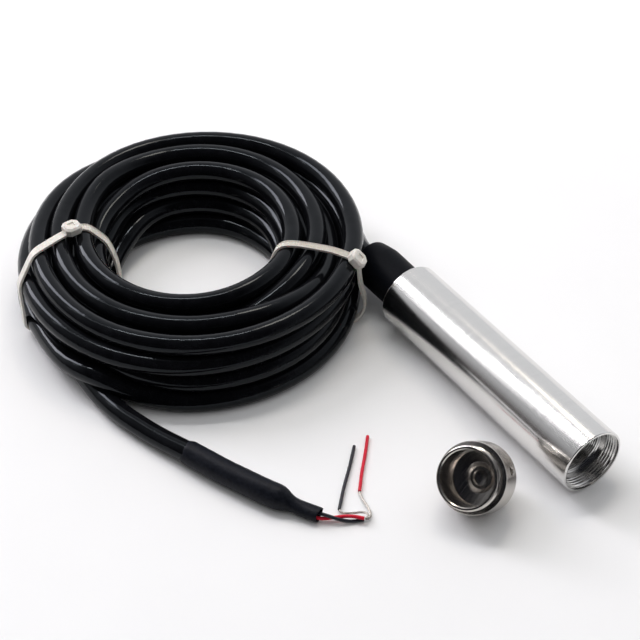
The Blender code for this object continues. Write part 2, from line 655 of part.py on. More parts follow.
def build_electronics():
    """Insulating sleeve, the board between its two holders, and what is soldered on it."""
    ring("insulating_sleeve", SLEEVE_AT, SLEEVE_LENGTH, SLEEVE_INNER_RADIUS,
         SLEEVE_OUTER_RADIUS, SLEEVE_FILM, ROUND_MIDDLE)
    build_board_holder("front_board_holder", FRONT_HOLDER_AT, 1)
    build_board_holder("rear_board_holder", REAR_HOLDER_AT, -1)
    board = block("circuit_board", BOARD_LENGTH, BOARD_WIDTH, BOARD_THICKNESS, BOARD_GREEN)
    in_housing(board, BOARD_AT + BOARD_LENGTH / 2)
    for name, share, across, length, width, height in CHIPS:
        chip = block(name, length, width, height, CHIP_BLACK)
        in_housing(chip, BOARD_AT + share * BOARD_LENGTH, across, BOARD_TOP + GAP + height / 2)
    for name, share, across in TRIMMERS:
        build_trimmer(name, share * BOARD_LENGTH, across)
    can_at = BOARD_AT + CAPACITOR_SHARE * BOARD_LENGTH
    can_up = BOARD_TOP + GAP + CAPACITOR_RADIUS
    can = cylinder_between("filter_capacitor", in_probe(can_at, CAPACITOR_LENGTH / 2, can_up),
                           in_probe(can_at, -CAPACITOR_LENGTH / 2, can_up),
                           CAPACITOR_RADIUS, ROUND_SMALL)
    can.data.materials[0] = material(*CAN_ALUMINIUM)


def build_inner_wires():
    """Jumper from the sensor's pins, vent tube, and the two leads to the board."""
    pin_end = SEAT_AT + SENSOR_LENGTH - HEADER_DEPTH + GAP + PIN_LENGTH
    rise = WIRE_HOLE_OFFSET
    jumper = [in_probe(pin_end + GAP, 0.0, PIN_CIRCLE),
              in_probe(pin_end + WIRE_STRAIGHT, 0.0, PIN_CIRCLE),
              in_probe(FRONT_HOLDER_AT + HOLDER_THICKNESS / 2, 0.0, rise),
              in_probe(FRONT_HOLDER_AT + HOLDER_THICKNESS, 0.0, rise),
              in_probe(BOARD_AT + JUMPER_LANDING, 0.0, BOARD_TOP + GAP + JUMPER_RADIUS)]
    laid("sensor_jumper", jumper, WIRE_SPACING, JUMPER_RADIUS, FILM_AMBER)

    header_at = SEAT_AT + SENSOR_LENGTH - HEADER_DEPTH
    inner_end = CABLE_FRONT_AT - GAP
    vent = [in_probe(header_at + GAP, 0.0, VENT_START_UP),
            in_probe(header_at + VENT_STRAIGHT, 0.0, VENT_START_UP - GAP),
            in_probe(FRONT_HOLDER_AT - WIRE_STRAIGHT, 0.0, -rise),
            in_probe(FRONT_HOLDER_AT + 2 * HOLDER_THICKNESS, 0.0, -rise),
            in_probe(REAR_HOLDER_AT - HOLDER_THICKNESS, 0.0, -rise),
            in_probe(REAR_HOLDER_AT + HOLDER_THICKNESS + WIRE_STRAIGHT, 0.0, -rise),
            in_probe(inner_end - WIRE_STRAIGHT, 0.0, -CABLE_RADIUS / 2),
            in_probe(inner_end, 0.0, -CABLE_RADIUS / 2)]
    laid("vent_tube", vent, VENT_SPACING, VENT_RADIUS, VENT_CLEAR)

    solder_at = BOARD_AT + BOARD_LENGTH - LEAD_LANDING
    for name, side, finish in (("inner_red_lead", 1, WIRE_RED), ("inner_black_lead", -1, WIRE_BLACK)):
        hole = side * (LEAD_RADIUS + GAP / 2)
        lead = [in_probe(inner_end, side * CABLE_RADIUS / 2, CABLE_RADIUS / 3),
                in_probe(inner_end - WIRE_STRAIGHT, side * CABLE_RADIUS / 2, CABLE_RADIUS / 3),
                in_probe(REAR_HOLDER_AT + HOLDER_THICKNESS, hole, rise),
                in_probe(REAR_HOLDER_AT, hole, rise + GAP),
                in_probe(solder_at, side * SOLDER_SIDE, BOARD_TOP + GAP + LEAD_RADIUS)]
        laid(name, lead, WIRE_SPACING, LEAD_RADIUS, finish)


def build_gland():
    """Screwed gland body with washers, a squeezed grommet and a hexagon nut."""
    outline = [
        (0.0, CABLE_HOLE_RADIUS),
        (0.0, GLAND_RADIUS),
        (GLAND_LENGTH, GLAND_RADIUS),
        (GLAND_LENGTH, GLAND_CAVITY_RADIUS),
        (GLAND_FRONT_WALL, GLAND_CAVITY_RADIUS),
        (GLAND_FRONT_WALL, CABLE_HOLE_RADIUS),
    ]
    in_housing(turned("gland_body", outline, PLATED, ROUND_MIDDLE), GLAND_AT)
    outer = GLAND_CAVITY_RADIUS - GAP
    at = GLAND_AT + GLAND_FRONT_WALL + GAP
    ring("gland_washer_front", at, WASHER_THICKNESS, CABLE_HOLE_RADIUS, outer, STEEL)
    at += WASHER_THICKNESS + GAP
    ring("gland_grommet", at, GROMMET_LENGTH, CABLE_HOLE_RADIUS, outer, SEAL_RUBBER)
    at += GROMMET_LENGTH + GAP
    ring("gland_washer_rear", at, WASHER_THICKNESS, CABLE_HOLE_RADIUS, outer, STEEL)
    at += WASHER_THICKNESS + GAP
    nut = ring("gland_nut", at, NUT_THREAD_LENGTH + NUT_HEX_LENGTH, CABLE_HOLE_RADIUS, outer,
               PLATED, ROUND_DISC)
    hexagon = 2 * outer
    for side in range(6):
        angle = math.radians(60 * side)
        centre = NUT_HEX_FLATS / 2 + hexagon / 2
        flat = block(f"nut_flat_cutter_{side + 1}", 2 * NUT_HEX_LENGTH, hexagon, hexagon, PLATED)
        flat.rotation_euler = (angle, 0.0, 0.0)
        flat.location = in_probe(at + NUT_THREAD_LENGTH + NUT_HEX_LENGTH,
                                 centre * math.cos(angle), centre * math.sin(angle))
        cut(nut, flat)


def build_boot():
    """Moulded rubber boot: flange in the tube's end, barrel, and a short taper."""
    outside = BOOT_LENGTH - BOOT_END_ROUND
    outline = [
        (-BOOT_FLANGE_LENGTH, CABLE_HOLE_RADIUS),
        (-BOOT_FLANGE_LENGTH, REAR_BORE_RADIUS - GAP),
        (0.0, REAR_BORE_RADIUS - GAP),
        (0.0, BOOT_RADIUS),
        (BOOT_STRAIGHT, BOOT_KINK_RADIUS),
        *arc(outside, BOOT_END_RADIUS - BOOT_END_ROUND, BOOT_END_ROUND, 80, 0, 3),
        (BOOT_LENGTH, CABLE_HOLE_RADIUS),
    ]
    in_housing(turned("rubber_boot", outline, BOOT_RUBBER, ROUND_MIDDLE), TUBE_LENGTH)


def build_cap():
    """Nose cap with its male thread, stepped bore and stepped inlets, lying on its cone."""
    axis = cap_axis()
    side = Vector((0, 0, 1)).cross(axis).normalized()
    up = axis.cross(side)
    body = turned("nose_cap", cap_outline(), STEEL, ROUND_BIG)
    pose = Matrix((axis, side, up)).transposed().to_4x4()
    pose.translation = from_mouth(*CAP_RIM_FROM_MOUTH, CAP_RIM_Z)
    body.matrix_world = pose
    for index in range(INLET_COUNT):
        angle = INLET_TURN + 2 * math.pi * index / INLET_COUNT
        outward = side * math.cos(angle) + up * math.sin(angle)
        middle = pose.translation - axis * INLET_BACK
        wide = cylinder_between(f"inlet_wide_cutter_{index + 1}",
                                middle + outward * (CAP_RADIUS - INLET_OUTER_DEPTH),
                                middle + outward * (CAP_RADIUS + INLET_OUTER_DEPTH),
                                INLET_OUTER_RADIUS, ROUND_HOLE)
        narrow = cylinder_between(f"inlet_cutter_{index + 1}",
                                  middle + outward * CAP_BORE_RADIUS / 2,
                                  middle + outward * CAP_RADIUS, INLET_RADIUS, ROUND_PIN)
        cut(body, wide)
        cut(body, narrow)


def build_held_cable():
    """The stretch of cable that the gland and the boot hold."""
    bar = cylinder_between("cable_in_gland", in_probe(CABLE_FRONT_AT),
                           in_probe(PROBE_LENGTH), CABLE_RADIUS, ROUND_SMALL)
    bar.data.materials[0] = material(*CABLE_JACKET)


def coil_shift(heading, height, radius):
    """How far the coil's oval and its dent move a turn outwards at a heading."""
    oval = COIL_OVAL * math.cos(2 * (heading - COIL_OVAL_HEADING))
    off = math.remainder(heading - COIL_DENT_HEADING, 2 * math.pi) / COIL_DENT_SPAN
    outer = max(0.0, (radius - COIL_INNER_RADIUS) / (COIL_LOW_RADIUS - COIL_INNER_RADIUS))
    low = min(1.0, max(0.0, (COIL_TOP_HEIGHT - height) / CABLE_DIAMETER))
    dent = math.cos(off * math.pi / 2) ** 2 if abs(off) < 1 else 0.0
    return oval - COIL_DENT * dent * outer * low


def coil_section(grow=0.0):
    """Outline round the coil's section as (radius, height), grown by an offset."""
    middle_height = (COIL_TOP_HEIGHT + COIL_LOW_HEIGHT) / 2
    corners = (
        (COIL_INNER_RADIUS, COIL_LOW_HEIGHT, 180, 270),
        (COIL_LOW_RADIUS, COIL_LOW_HEIGHT, 270, 360),
        (COIL_MID_RADIUS, middle_height, 0, 12),
        (COIL_TOP_RADIUS, COIL_TOP_HEIGHT, 12, 90),
        (COIL_INNER_RADIUS, COIL_TOP_HEIGHT, 90, 180),
    )
    outline = []
    for radius, height, start, end in corners:
        for step in range(COIL_CORNER_STEPS + 1):
            angle = math.radians(start + (end - start) * step / COIL_CORNER_STEPS)
            outline.append((radius + (CABLE_RADIUS + grow) * math.cos(angle),
                            height + (CABLE_RADIUS + grow) * math.sin(angle), radius))
    return outline


def coil_point(radius, height, base_radius, heading):
    """A point of the coil's section at a heading round the coil."""
    reach_out = radius + coil_shift(heading, height, base_radius)
    return from_boot(COIL_MIDDLE[0] + reach_out * math.cos(heading),
                     COIL_MIDDLE[1] + reach_out * math.sin(heading), height)


def loft(name, loops, finish):
    """A closed ring of equal closed loops joined into one solid."""
    bm = bmesh.new()
    grid = [[bm.verts.new(point) for point in loop] for loop in loops]
    for index, loop in enumerate(grid):
        following = grid[(index + 1) % len(grid)]
        for step in range(len(loop)):
            after = (step + 1) % len(loop)
            bm.faces.new((loop[step], loop[after], following[after], following[step]))
    return finish_mesh(name, bm, finish)


def build_coil():
    """The wound turns as one solid ring, slightly oval, dented by the boot."""
    loops = []
    for step in range(COIL_STEPS):
        heading = 2 * math.pi * step / COIL_STEPS
        loops.append([coil_point(radius, height, base, heading)
                      for radius, height, base in coil_section()])
    loft("cable_coil", loops, CABLE_JACKET)


def tie_heading(place, inner, top, outer, top_place):
    """Heading of the strap at a place round the section, from 0 low inside."""
    keys = ((0.0, inner), (0.05, inner), (0.29, outer), (0.50, outer), (top_place, top),
            (0.84, inner), (1.0, inner))
    for (start, first), (end, second) in zip(keys, keys[1:]):
        if place <= end:
            share = (place - start) / (end - start)
            share = share * share * (3 - 2 * share)
            return first + (second - first) * share
    return inner


def tie_sections():
    """The strap's inside and outside round the coil's section, with bends on the flats too."""
    near, far = [], []
    inside, outside = coil_section(GAP), coil_section(GAP + TIE_THICKNESS)
    for index in range(len(inside)):
        after = (index + 1) % len(inside)
        span = math.dist(inside[index][:2], inside[after][:2])
        count = max(1, round(span / TIE_SPACING))
        for step in range(count):
            for fine, coarse in ((near, inside), (far, outside)):
                fine.append(tuple(start + (end - start) * step / count
                                  for start, end in zip(coarse[index], coarse[after])))
    return near, far


def build_tie(name, inner, top, outer, top_place, head_place):
    """A strap round the coil's section with its head, moulded in one piece."""
    near, far = tie_sections()
    lengths = [0.0]
    for start, end in zip(near, near[1:] + near[:1]):
        lengths.append(lengths[-1] + math.dist(start[:2], end[:2]))
    loops = []
    frames = []
    for index, (inside, outside) in enumerate(zip(near, far)):
        place = lengths[index] / lengths[-1]
        heading = tie_heading(place, inner, top, outer, top_place)
        low = coil_point(*inside, heading)
        high = coil_point(*outside, heading)
        frames.append((place, low, high, heading))
    count = len(frames)
    for index, (place, low, high, heading) in enumerate(frames):
        along = (frames[(index + 1) % count][1] - frames[index - 1][1]).normalized()
        across = along.cross(high - low).normalized() * TIE_WIDTH / 2
        loops.append([low - across, low + across, high + across, high - across])
    strap = loft(name, loops, TIE_NYLON)

    after = next(index for index, frame in enumerate(frames) if frame[0] >= head_place)
    before = frames[after - 1]
    share = (head_place - before[0]) / (frames[after][0] - before[0])
    low = before[1].lerp(frames[after][1], share)
    high = before[2].lerp(frames[after][2], share)
    along = (frames[after][1] - before[1]).normalized()
    outward = (high - low)
    outward = (outward - along * outward.dot(along)).normalized()
    across = along.cross(outward)
    head = block(f"{name}_head_shape", TIE_HEAD_LENGTH, TIE_HEAD_WIDTH, TIE_HEAD_HEIGHT, TIE_NYLON)
    bevel = head.modifiers.new("rounded_corners", "BEVEL")
    bevel.width = TIE_HEAD_ROUND
    bevel.segments = 2
    pose = Matrix((along, across, outward)).transposed().to_4x4()
    pose.translation = low + outward * (TIE_HEAD_HEIGHT / 2)
    head.matrix_world = pose
    join(strap, head)


def build_free_cable():
    """Lead-in from the boot to the coil, and the tail from the coil to the end sleeve."""
    lead_in = [from_boot(*point) for point in LEAD_IN_ROUTE]
    for name, route in (("cable_lead_in", lead_in), ("cable_tail", routed(TAIL_ROUTE))):
        laid(name, route, CABLE_SPACING, CABLE_RADIUS, CABLE_JACKET, 3)


def sleeve_radius(place):
    """Radius of the end sleeve at a share of its length."""
    if place <= SLEEVE_NECK_START:
        return SLEEVE_RADIUS
    if place >= SLEEVE_NECK_END:
        return SLEEVE_NECK_RADIUS
    share = (place - SLEEVE_NECK_START) / (SLEEVE_NECK_END - SLEEVE_NECK_START)
    share = share * share * (3 - 2 * share)
    return SLEEVE_RADIUS + (SLEEVE_NECK_RADIUS - SLEEVE_RADIUS) * share


def build_end_sleeve():
    """Shrink sleeve over the cable's end, closed down to an open neck for the leads."""
    points = smooth_route(routed(SLEEVE_ROUTE), SLEEVE_SPACING)
    count = len(points)
    places = [index / (count - 1) for index in range(count)]
    depth = SLEEVE_MOUTH_DEPTH
    pocket_back = points[-1] + (points[-3] - points[-1]).normalized() * depth
    loops = []
    for index, (point, place) in enumerate(zip(points, places)):
        ahead = points[min(index + 1, count - 1)]
        behind = points[max(index - 1, 0)]
        loops.append((point, (ahead - behind).normalized(), sleeve_radius(place)))
    end, heading, neck = loops[-1]
    loops.append((end, heading, neck - SLEEVE_MOUTH_WALL))
    loops.append((pocket_back, heading, neck - SLEEVE_MOUTH_WALL))
    bm = bmesh.new()
    grid = []
    for point, direction, radius in loops:
        side = Vector((0, 0, 1)).cross(direction).normalized()
        up = direction.cross(side)
        circle = []
        for step in range(SLEEVE_SIDES):
            angle = 2 * math.pi * step / SLEEVE_SIDES
            spoke = side * math.cos(angle) + up * math.sin(angle)
            circle.append(bm.verts.new(point + radius * spoke))
        grid.append(circle)
    for first, second in zip(grid, grid[1:]):
        for step in range(SLEEVE_SIDES):
            after = (step + 1) % SLEEVE_SIDES
            bm.faces.new((first[step], first[after], second[after], second[step]))
    bm.faces.new(grid[0])
    bm.faces.new(grid[-1])
    finish_mesh("end_sleeve", bm, SHRINK_BLACK)


def build_leads():
    """The twisted red and black leads, their bare strands and the pulled-off ends."""
    middle = smooth_route(routed(PAIR_ROUTE), PAIR_SPACING)
    for name, phase, finish in (("red_wire", 0.0, WIRE_RED), ("black_wire", math.pi, WIRE_BLACK)):
        points = []
        for index, point in enumerate(middle):
            ahead = middle[min(index + 1, len(middle) - 1)]
            behind = middle[max(index - 1, 0)]
            direction = (ahead - behind).normalized()
            side = Vector((0, 0, 1)).cross(direction).normalized()
            up = direction.cross(side)
            angle = phase + WIRE_TWIST * index / (len(middle) - 1)
            points.append(point + WIRE_SPREAD * (side * math.cos(angle) + up * math.sin(angle)))
        tube(name, points, WIRE_RADIUS, finish)
    for name, route in (("black_strands", BLACK_STRAND_ROUTE), ("red_strands", RED_STRAND_ROUTE)):
        laid(name, routed(route), STRAND_SPACING, STRAND_RADIUS, TINNED_COPPER)
    for name, route, finish in (("black_tip", BLACK_TIP, WIRE_BLACK), ("red_tip", RED_TIP, WIRE_RED)):
        laid(name, routed(route), TIP_SPACING, TIP_RADIUS, finish)


def main():
    clear_scene()
    build_housing()
    build_sensor()
    build_retaining_ring()
    build_electronics()
    build_inner_wires()
    build_gland()
    build_boot()
    build_cap()
    build_held_cable()
    build_coil()
    for tie in TIES:
        build_tie(*tie)
    build_free_cable()
    build_end_sleeve()
    build_leads()


main()
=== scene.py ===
import math

import bmesh
import bpy
import numpy as np
from mathutils import Matrix, Vector


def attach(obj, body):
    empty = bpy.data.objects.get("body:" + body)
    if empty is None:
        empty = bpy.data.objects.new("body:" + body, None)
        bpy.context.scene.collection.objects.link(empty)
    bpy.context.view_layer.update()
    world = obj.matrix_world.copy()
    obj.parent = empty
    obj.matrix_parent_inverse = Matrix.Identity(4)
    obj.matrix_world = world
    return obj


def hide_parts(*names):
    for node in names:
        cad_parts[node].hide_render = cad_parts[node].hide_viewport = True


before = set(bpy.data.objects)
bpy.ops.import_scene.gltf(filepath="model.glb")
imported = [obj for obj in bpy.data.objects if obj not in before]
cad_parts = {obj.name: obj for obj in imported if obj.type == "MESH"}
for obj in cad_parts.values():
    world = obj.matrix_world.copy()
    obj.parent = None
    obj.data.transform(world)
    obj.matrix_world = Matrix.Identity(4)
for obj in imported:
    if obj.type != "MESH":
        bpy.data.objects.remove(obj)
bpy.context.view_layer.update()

MM = 0.001
MOUTH = Vector((0.06815, 0.020292, 0.013))     # middle of the probe's open end
TUBE_AXIS = Vector((1.0, 0.0, 0.0))            # from the boot to the mouth
COIL_CENTRE = Vector((-0.10315, -0.040208, 0.0))
UP = Vector((0.0, 0.0, 1.0))
WAVE_DEPTH = 0.001                             # relief of a surface's slow waves
GRAIN_DEPTH = 0.0001                           # and of its fine grain


# Materials

def link(tree, start, end):
    tree.links.new(start, end)


def noise_node(tree, coords, scale, detail=3.0, roughness=0.55):
    noise = tree.nodes.new("ShaderNodeTexNoise")
    noise.inputs["Scale"].default_value = scale
    noise.inputs["Detail"].default_value = detail
    noise.inputs["Roughness"].default_value = roughness
    link(tree, coords, noise.inputs["Vector"])
    return noise.outputs["Fac"]


def spread(tree, value, low, high, start=0.3, end=0.7):
    """Maps a noise value on to the range low to high."""
    node = tree.nodes.new("ShaderNodeMapRange")
    node.inputs["From Min"].default_value = start
    node.inputs["From Max"].default_value = end
    node.inputs["To Min"].default_value = low
    node.inputs["To Max"].default_value = high
    link(tree, value, node.inputs["Value"])
    return node.outputs["Result"]


def ramp(tree, value, first, second, start=0.3, end=0.7):
    node = tree.nodes.new("ShaderNodeValToRGB")
    node.color_ramp.elements[0].position = start
    node.color_ramp.elements[1].position = end
    node.color_ramp.elements[0].color = (*first, 1.0)
    node.color_ramp.elements[1].color = (*second, 1.0)
    link(tree, value, node.inputs["Fac"])
    return node.outputs["Color"]


def material(name, dark, light, rough, metallic=0.0, scale=300.0, stretch=(1.0, 1.0, 1.0),
             bump=0.0, bump_scale=None, wave=0.0, wave_scale=60.0, **sockets):
    """A Principled material with mottled colour and roughness and two sizes of relief.

    Further arguments name sockets of the shader that are the same all over."""
    made = bpy.data.materials.new(name)
    made.use_nodes = True
    tree = made.node_tree
    shader = tree.nodes["Principled BSDF"]
    shader.inputs["Metallic"].default_value = metallic
    for socket, value in sockets.items():
        shader.inputs[socket.replace("_", " ")].default_value = value
    coords = tree.nodes.new("ShaderNodeTexCoord").outputs["Object"]
    mapping = tree.nodes.new("ShaderNodeMapping")
    link(tree, coords, mapping.inputs["Vector"])
    mapping.inputs["Scale"].default_value = stretch
    grain_at = mapping.outputs["Vector"]
    grain = noise_node(tree, grain_at, scale)
    link(tree, ramp(tree, grain, dark, light), shader.inputs["Base Color"])
    link(tree, spread(tree, grain, *rough), shader.inputs["Roughness"])
    normal = None
    for strength, at, size, depth in ((wave, coords, wave_scale, WAVE_DEPTH),
                                      (bump, grain_at, bump_scale or scale, GRAIN_DEPTH)):
        if strength:
            relief = tree.nodes.new("ShaderNodeBump")
            relief.inputs["Strength"].default_value = strength
            relief.inputs["Distance"].default_value = depth
            link(tree, noise_node(tree, at, size), relief.inputs["Height"])
            if normal is not None:
                link(tree, normal, relief.inputs["Normal"])
            normal = relief.outputs["Normal"]
    if normal is not None:
        link(tree, normal, shader.inputs["Normal"])
    return made


TURNED = (1.0, 0.01, 0.01)    # fine rings round the X axis
STEEL = material("satin_steel", (0.70, 0.69, 0.675), (0.74, 0.73, 0.715), (0.15, 0.20), 1.0,
                 scale=3000.0, stretch=TURNED, bump=0.02)
BORE_STEEL = material("machined_steel", (0.50, 0.48, 0.44), (0.66, 0.64, 0.60), (0.16, 0.24), 1.0,
                      scale=9000.0, stretch=TURNED, bump=0.04)
CAP_STEEL = material("cap_steel", (0.46, 0.43, 0.40), (0.64, 0.61, 0.57), (0.15, 0.27), 1.0,
                     scale=6000.0, stretch=TURNED, bump=0.06)
FOIL = material("diaphragm_foil", (0.62, 0.62, 0.61), (0.74, 0.74, 0.73), (0.12, 0.22), 1.0,
                scale=900.0, bump=0.05)
PLATED = material("nickel_plate", (0.45, 0.42, 0.35), (0.58, 0.55, 0.47), (0.22, 0.38), 1.0,
                  scale=2500.0, stretch=TURNED, bump=0.08)
GOLD = material("gold_plate", (0.72, 0.48, 0.18), (0.86, 0.64, 0.30), (0.22, 0.35), 1.0,
                scale=2500.0, bump=0.05)
SEAL = material("seal_rubber", (0.012, 0.012, 0.012), (0.028, 0.028, 0.028), (0.55, 0.75),
                scale=1500.0, bump=0.2)
BOOT = material("boot_rubber", (0.0018, 0.0022, 0.0036), (0.0046, 0.0054, 0.0076), (0.44, 0.58),
                scale=2600.0, bump=0.25, wave=0.10, wave_scale=160.0, Specular_IOR_Level=0.05)
BOARD = material("board_laminate", (0.012, 0.12, 0.05), (0.03, 0.19, 0.09), (0.35, 0.5),
                 scale=1800.0, bump=0.1)
EPOXY = material("chip_epoxy", (0.02, 0.02, 0.02), (0.045, 0.045, 0.045), (0.45, 0.6),
                 scale=4000.0, bump=0.25)
BLUE = material("trimmer_plastic", (0.02, 0.09, 0.38), (0.04, 0.14, 0.50), (0.35, 0.5),
                scale=2000.0, bump=0.1)
CAN = material("capacitor_can", (0.58, 0.58, 0.60), (0.72, 0.72, 0.73), (0.28, 0.4), 1.0,
               scale=3000.0, bump=0.08)
AMBER = material("jumper_film", (0.46, 0.20, 0.03), (0.62, 0.31, 0.06), (0.28, 0.4),
                 scale=1600.0, bump=0.1)
HOLDER = material("holder_nylon", (0.68, 0.66, 0.58), (0.80, 0.78, 0.71), (0.42, 0.58),
                  scale=1400.0, bump=0.12)
FILM = material("insulating_film", (0.74, 0.74, 0.66), (0.84, 0.84, 0.77), (0.3, 0.45),
                scale=700.0, bump=0.1)
# The jacket's specular tint is a painted blue cast on its reflections, standing in for the cool light
# of the room.
JACKET = material("cable_jacket", (0.0026, 0.0027, 0.0034), (0.0050, 0.0052, 0.0064), (0.07, 0.13),
                  scale=240.0, bump=0.22, bump_scale=420.0, wave=0.14, wave_scale=75.0,
                  Specular_IOR_Level=0.19, Specular_Tint=(0.84, 0.93, 1.0, 1.0))
SHRINK = material("shrink_sleeve", (0.0040, 0.0046, 0.0075), (0.010, 0.0115, 0.017), (0.38, 0.52),
                  scale=900.0, bump=0.30, wave=0.3, wave_scale=240.0, Specular_IOR_Level=0.12)
RED = material("red_insulation", (0.56, 0.006, 0.024), (0.68, 0.012, 0.040), (0.3, 0.42),
               scale=900.0, bump=0.1, Specular_IOR_Level=0.25)
BLACK = material("black_insulation", (0.004, 0.005, 0.010), (0.010, 0.012, 0.022), (0.28, 0.42),
                 scale=900.0, bump=0.1)
CLEAR = material("vent_tube_plastic", (0.68, 0.69, 0.71), (0.80, 0.81, 0.83), (0.25, 0.38),
                 scale=900.0, bump=0.06)
COPPER = material("tinned_copper", (0.40, 0.37, 0.34), (0.60, 0.57, 0.53), (0.25, 0.42), 1.0,
                  scale=3500.0, bump=0.15)
NYLON = material("tie_nylon", (0.66, 0.63, 0.57), (0.76, 0.735, 0.68), (0.30, 0.44),
                 scale=800.0, bump=0.12, Subsurface_Weight=0.08, Subsurface_Scale=0.001)
FINISHES = {
    "stainless_steel": BORE_STEEL, "diaphragm_foil": FOIL, "nickel_plated_brass": PLATED,
    "gold_plated_pins": GOLD, "seal_rubber": SEAL, "boot_rubber": BOOT,
    "board_laminate": BOARD, "chip_epoxy": EPOXY, "trimmer_blue": BLUE,
    "capacitor_can": CAN, "jumper_film": AMBER, "holder_nylon": HOLDER,
    "insulating_film": FILM, "cable_jacket": JACKET, "shrink_sleeve": SHRINK,
    "red_insulation": RED, "black_insulation": BLACK, "vent_tube_plastic": CLEAR,
    "tinned_copper": COPPER, "tie_nylon": NYLON,
}


# Shapes

def add(name, data, finish, slot, *nodes):
    """Puts a new piece in the scene, with its finish, on the frame's only body."""
    obj = bpy.data.objects.new(name, data)
    bpy.context.scene.collection.objects.link(obj)
    data.materials.append(finish)
    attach(obj, "root")
    if nodes:
        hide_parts(*nodes)
    return obj


def mesh_from(name, verts, faces, sharp=35.0):
    """A clean mesh with its faces pointing out and smooth but for edges over an angle."""
    mesh = bpy.data.meshes.new(name)
    mesh.from_pydata([tuple(v) for v in verts], [], faces)
    bm = bmesh.new()
    bm.from_mesh(mesh)
    bmesh.ops.remove_doubles(bm, verts=bm.verts, dist=1e-7)
    bmesh.ops.dissolve_degenerate(bm, dist=1e-8, edges=bm.edges)
    bmesh.ops.recalc_face_normals(bm, faces=bm.faces)
    bm.to_mesh(mesh)
    bm.free()
    mesh.shade_smooth()
    mesh.set_sharp_from_angle(angle=math.radians(sharp))
    return mesh


def turned_mesh(name, outline, origin, axis, steps=128, sharp=35.0):
    """Turns an outline of (depth, radius, relief) about an axis that points out of the mouth.

    The relief is (height, pitch) of a thread at that point, or None."""
    axis = axis.normalized()
    side = UP.cross(axis).normalized()
    up = axis.cross(side)
    verts = []
    for step in range(steps):
        angle = 2 * math.pi * step / steps
        spoke = side * math.cos(angle) + up * math.sin(angle)
        for depth, radius, relief in outline:
            if relief:
                height, pitch = relief
                phase = (depth / pitch - step / steps) % 1.0
                radius += height * (1.0 - 2.0 * abs(2.0 * phase - 1.0))
            verts.append(origin - axis * depth + spoke * radius)
    count = len(outline)
    faces = []
    for step in range(steps):
        ahead = (step + 1) % steps
        for index in range(count):
            after = (index + 1) % count
            if outline[index][1] == 0.0 and outline[after][1] == 0.0:
                continue
            faces.append((step * count + index, step * count + after,
                          ahead * count + after, ahead * count + index))
    return mesh_from(name, verts, faces, sharp)


def plain(*points):
    """Outline points in millimetres, without a thread."""
    return [(depth * MM, radius * MM, None) for depth, radius in points]


def threaded(start, end, radius, height, pitch, per_turn=8):
    """A stretch of thread, in millimetres, with its crest height fading in at both ends."""
    count = round(abs(end - start) / pitch * per_turn)
    points = []
    for index in range(count + 1):
        depth = start + (end - start) * index / count
        fade = min(1.0, min(abs(depth - start), abs(depth - end)) / (0.35 * pitch))
        points.append((depth * MM, radius * MM, (height * fade * MM, pitch * MM)))
    return points


def arc(depth, radius, size, start, end, steps=5):
    """Outline points of a rounded corner, in millimetres and degrees from +depth."""
    angles = [math.radians(start + (end - start) * step / steps) for step in range(steps + 1)]
    return [(depth + size * math.cos(angle), radius + size * math.sin(angle))
            for angle in angles]


CURVE_STEPS = 24               # between two given points, before they are spaced evenly


def curve_points(points, spacing):
    """Evenly spaced points on a Catmull-Rom curve through the given points."""
    points = [Vector(p) for p in points]
    chain = [2 * points[0] - points[1], *points, 2 * points[-1] - points[-2]]
    fine = []
    for index in range(1, len(chain) - 2):
        a, b, c, d = chain[index - 1:index + 3]
        for step in range(CURVE_STEPS):
            t = step / CURVE_STEPS
            fine.append(0.5 * ((2 * b) + (c - a) * t + (2 * a - 5 * b + 4 * c - d) * t ** 2
                               + (3 * b - a - 3 * c + d) * t ** 3))
    fine.append(points[-1])
    lengths = [0.0]
    for start, end in zip(fine, fine[1:]):
        lengths.append(lengths[-1] + (end - start).length)
    count = max(3, round(lengths[-1] / spacing))
    even = []
    at = 0
    for index in range(count + 1):
        want = lengths[-1] * index / count
        while at < len(fine) - 2 and lengths[at + 1] < want:
            at += 1
        share = (want - lengths[at]) / max(1e-12, lengths[at + 1] - lengths[at])
        even.append(fine[at].lerp(fine[at + 1], min(1.0, max(0.0, share))))
    return even


def tube_curve(name, routes, radius, resolution):
    """A curve with one round-bevelled open spline for each route."""
    curve = bpy.data.curves.new(name, "CURVE")
    curve.dimensions = "3D"
    curve.bevel_depth = radius
    curve.bevel_resolution = resolution
    curve.use_fill_caps = True
    for points in routes:
        spline = curve.splines.new("POLY")
        spline.points.add(len(points) - 1)
        for index, point in enumerate(points):
            spline.points[index].co = (*point, 1.0)
        spline.use_smooth = True
    return curve


def frames_along(points):
    """Direction, side and up at each point of a route that doesn't stand upright."""
    frames = []
    for index in range(len(points)):
        ahead = points[min(index + 1, len(points) - 1)]
        behind = points[max(index - 1, 0)]
        direction = (ahead - behind).normalized()
        side = UP.cross(direction).normalized()
        frames.append((direction, side, direction.cross(side)))
    return frames


def sleeve_mesh(name, points, profile, sides=40, sharp=40.0):
    """A closed skin round a route.

    The profile lists (index of a point of the route, function) in order; the function gives
    the radius and the shift along the route at an angle round it."""
    frames = frames_along(points)
    verts = []
    faces = []
    rows = len(profile)
    for index, radius_at in profile:
        point, (direction, side, up) = points[index], frames[index]
        for step in range(sides):
            angle = 2 * math.pi * step / sides
            radius, shift = radius_at(angle)
            verts.append(point + direction * shift
                         + (side * math.cos(angle) + up * math.sin(angle)) * radius)
    for row in range(rows - 1):
        for step in range(sides):
            after = (step + 1) % sides
            faces.append((row * sides + step, row * sides + after,
                          (row + 1) * sides + after, (row + 1) * sides + step))
    faces.append(tuple(range(sides))[::-1])
    faces.append(tuple(range((rows - 1) * sides, rows * sides)))
    return mesh_from(name, verts, faces, sharp)


CUT_SHARP = 30.0               # degrees


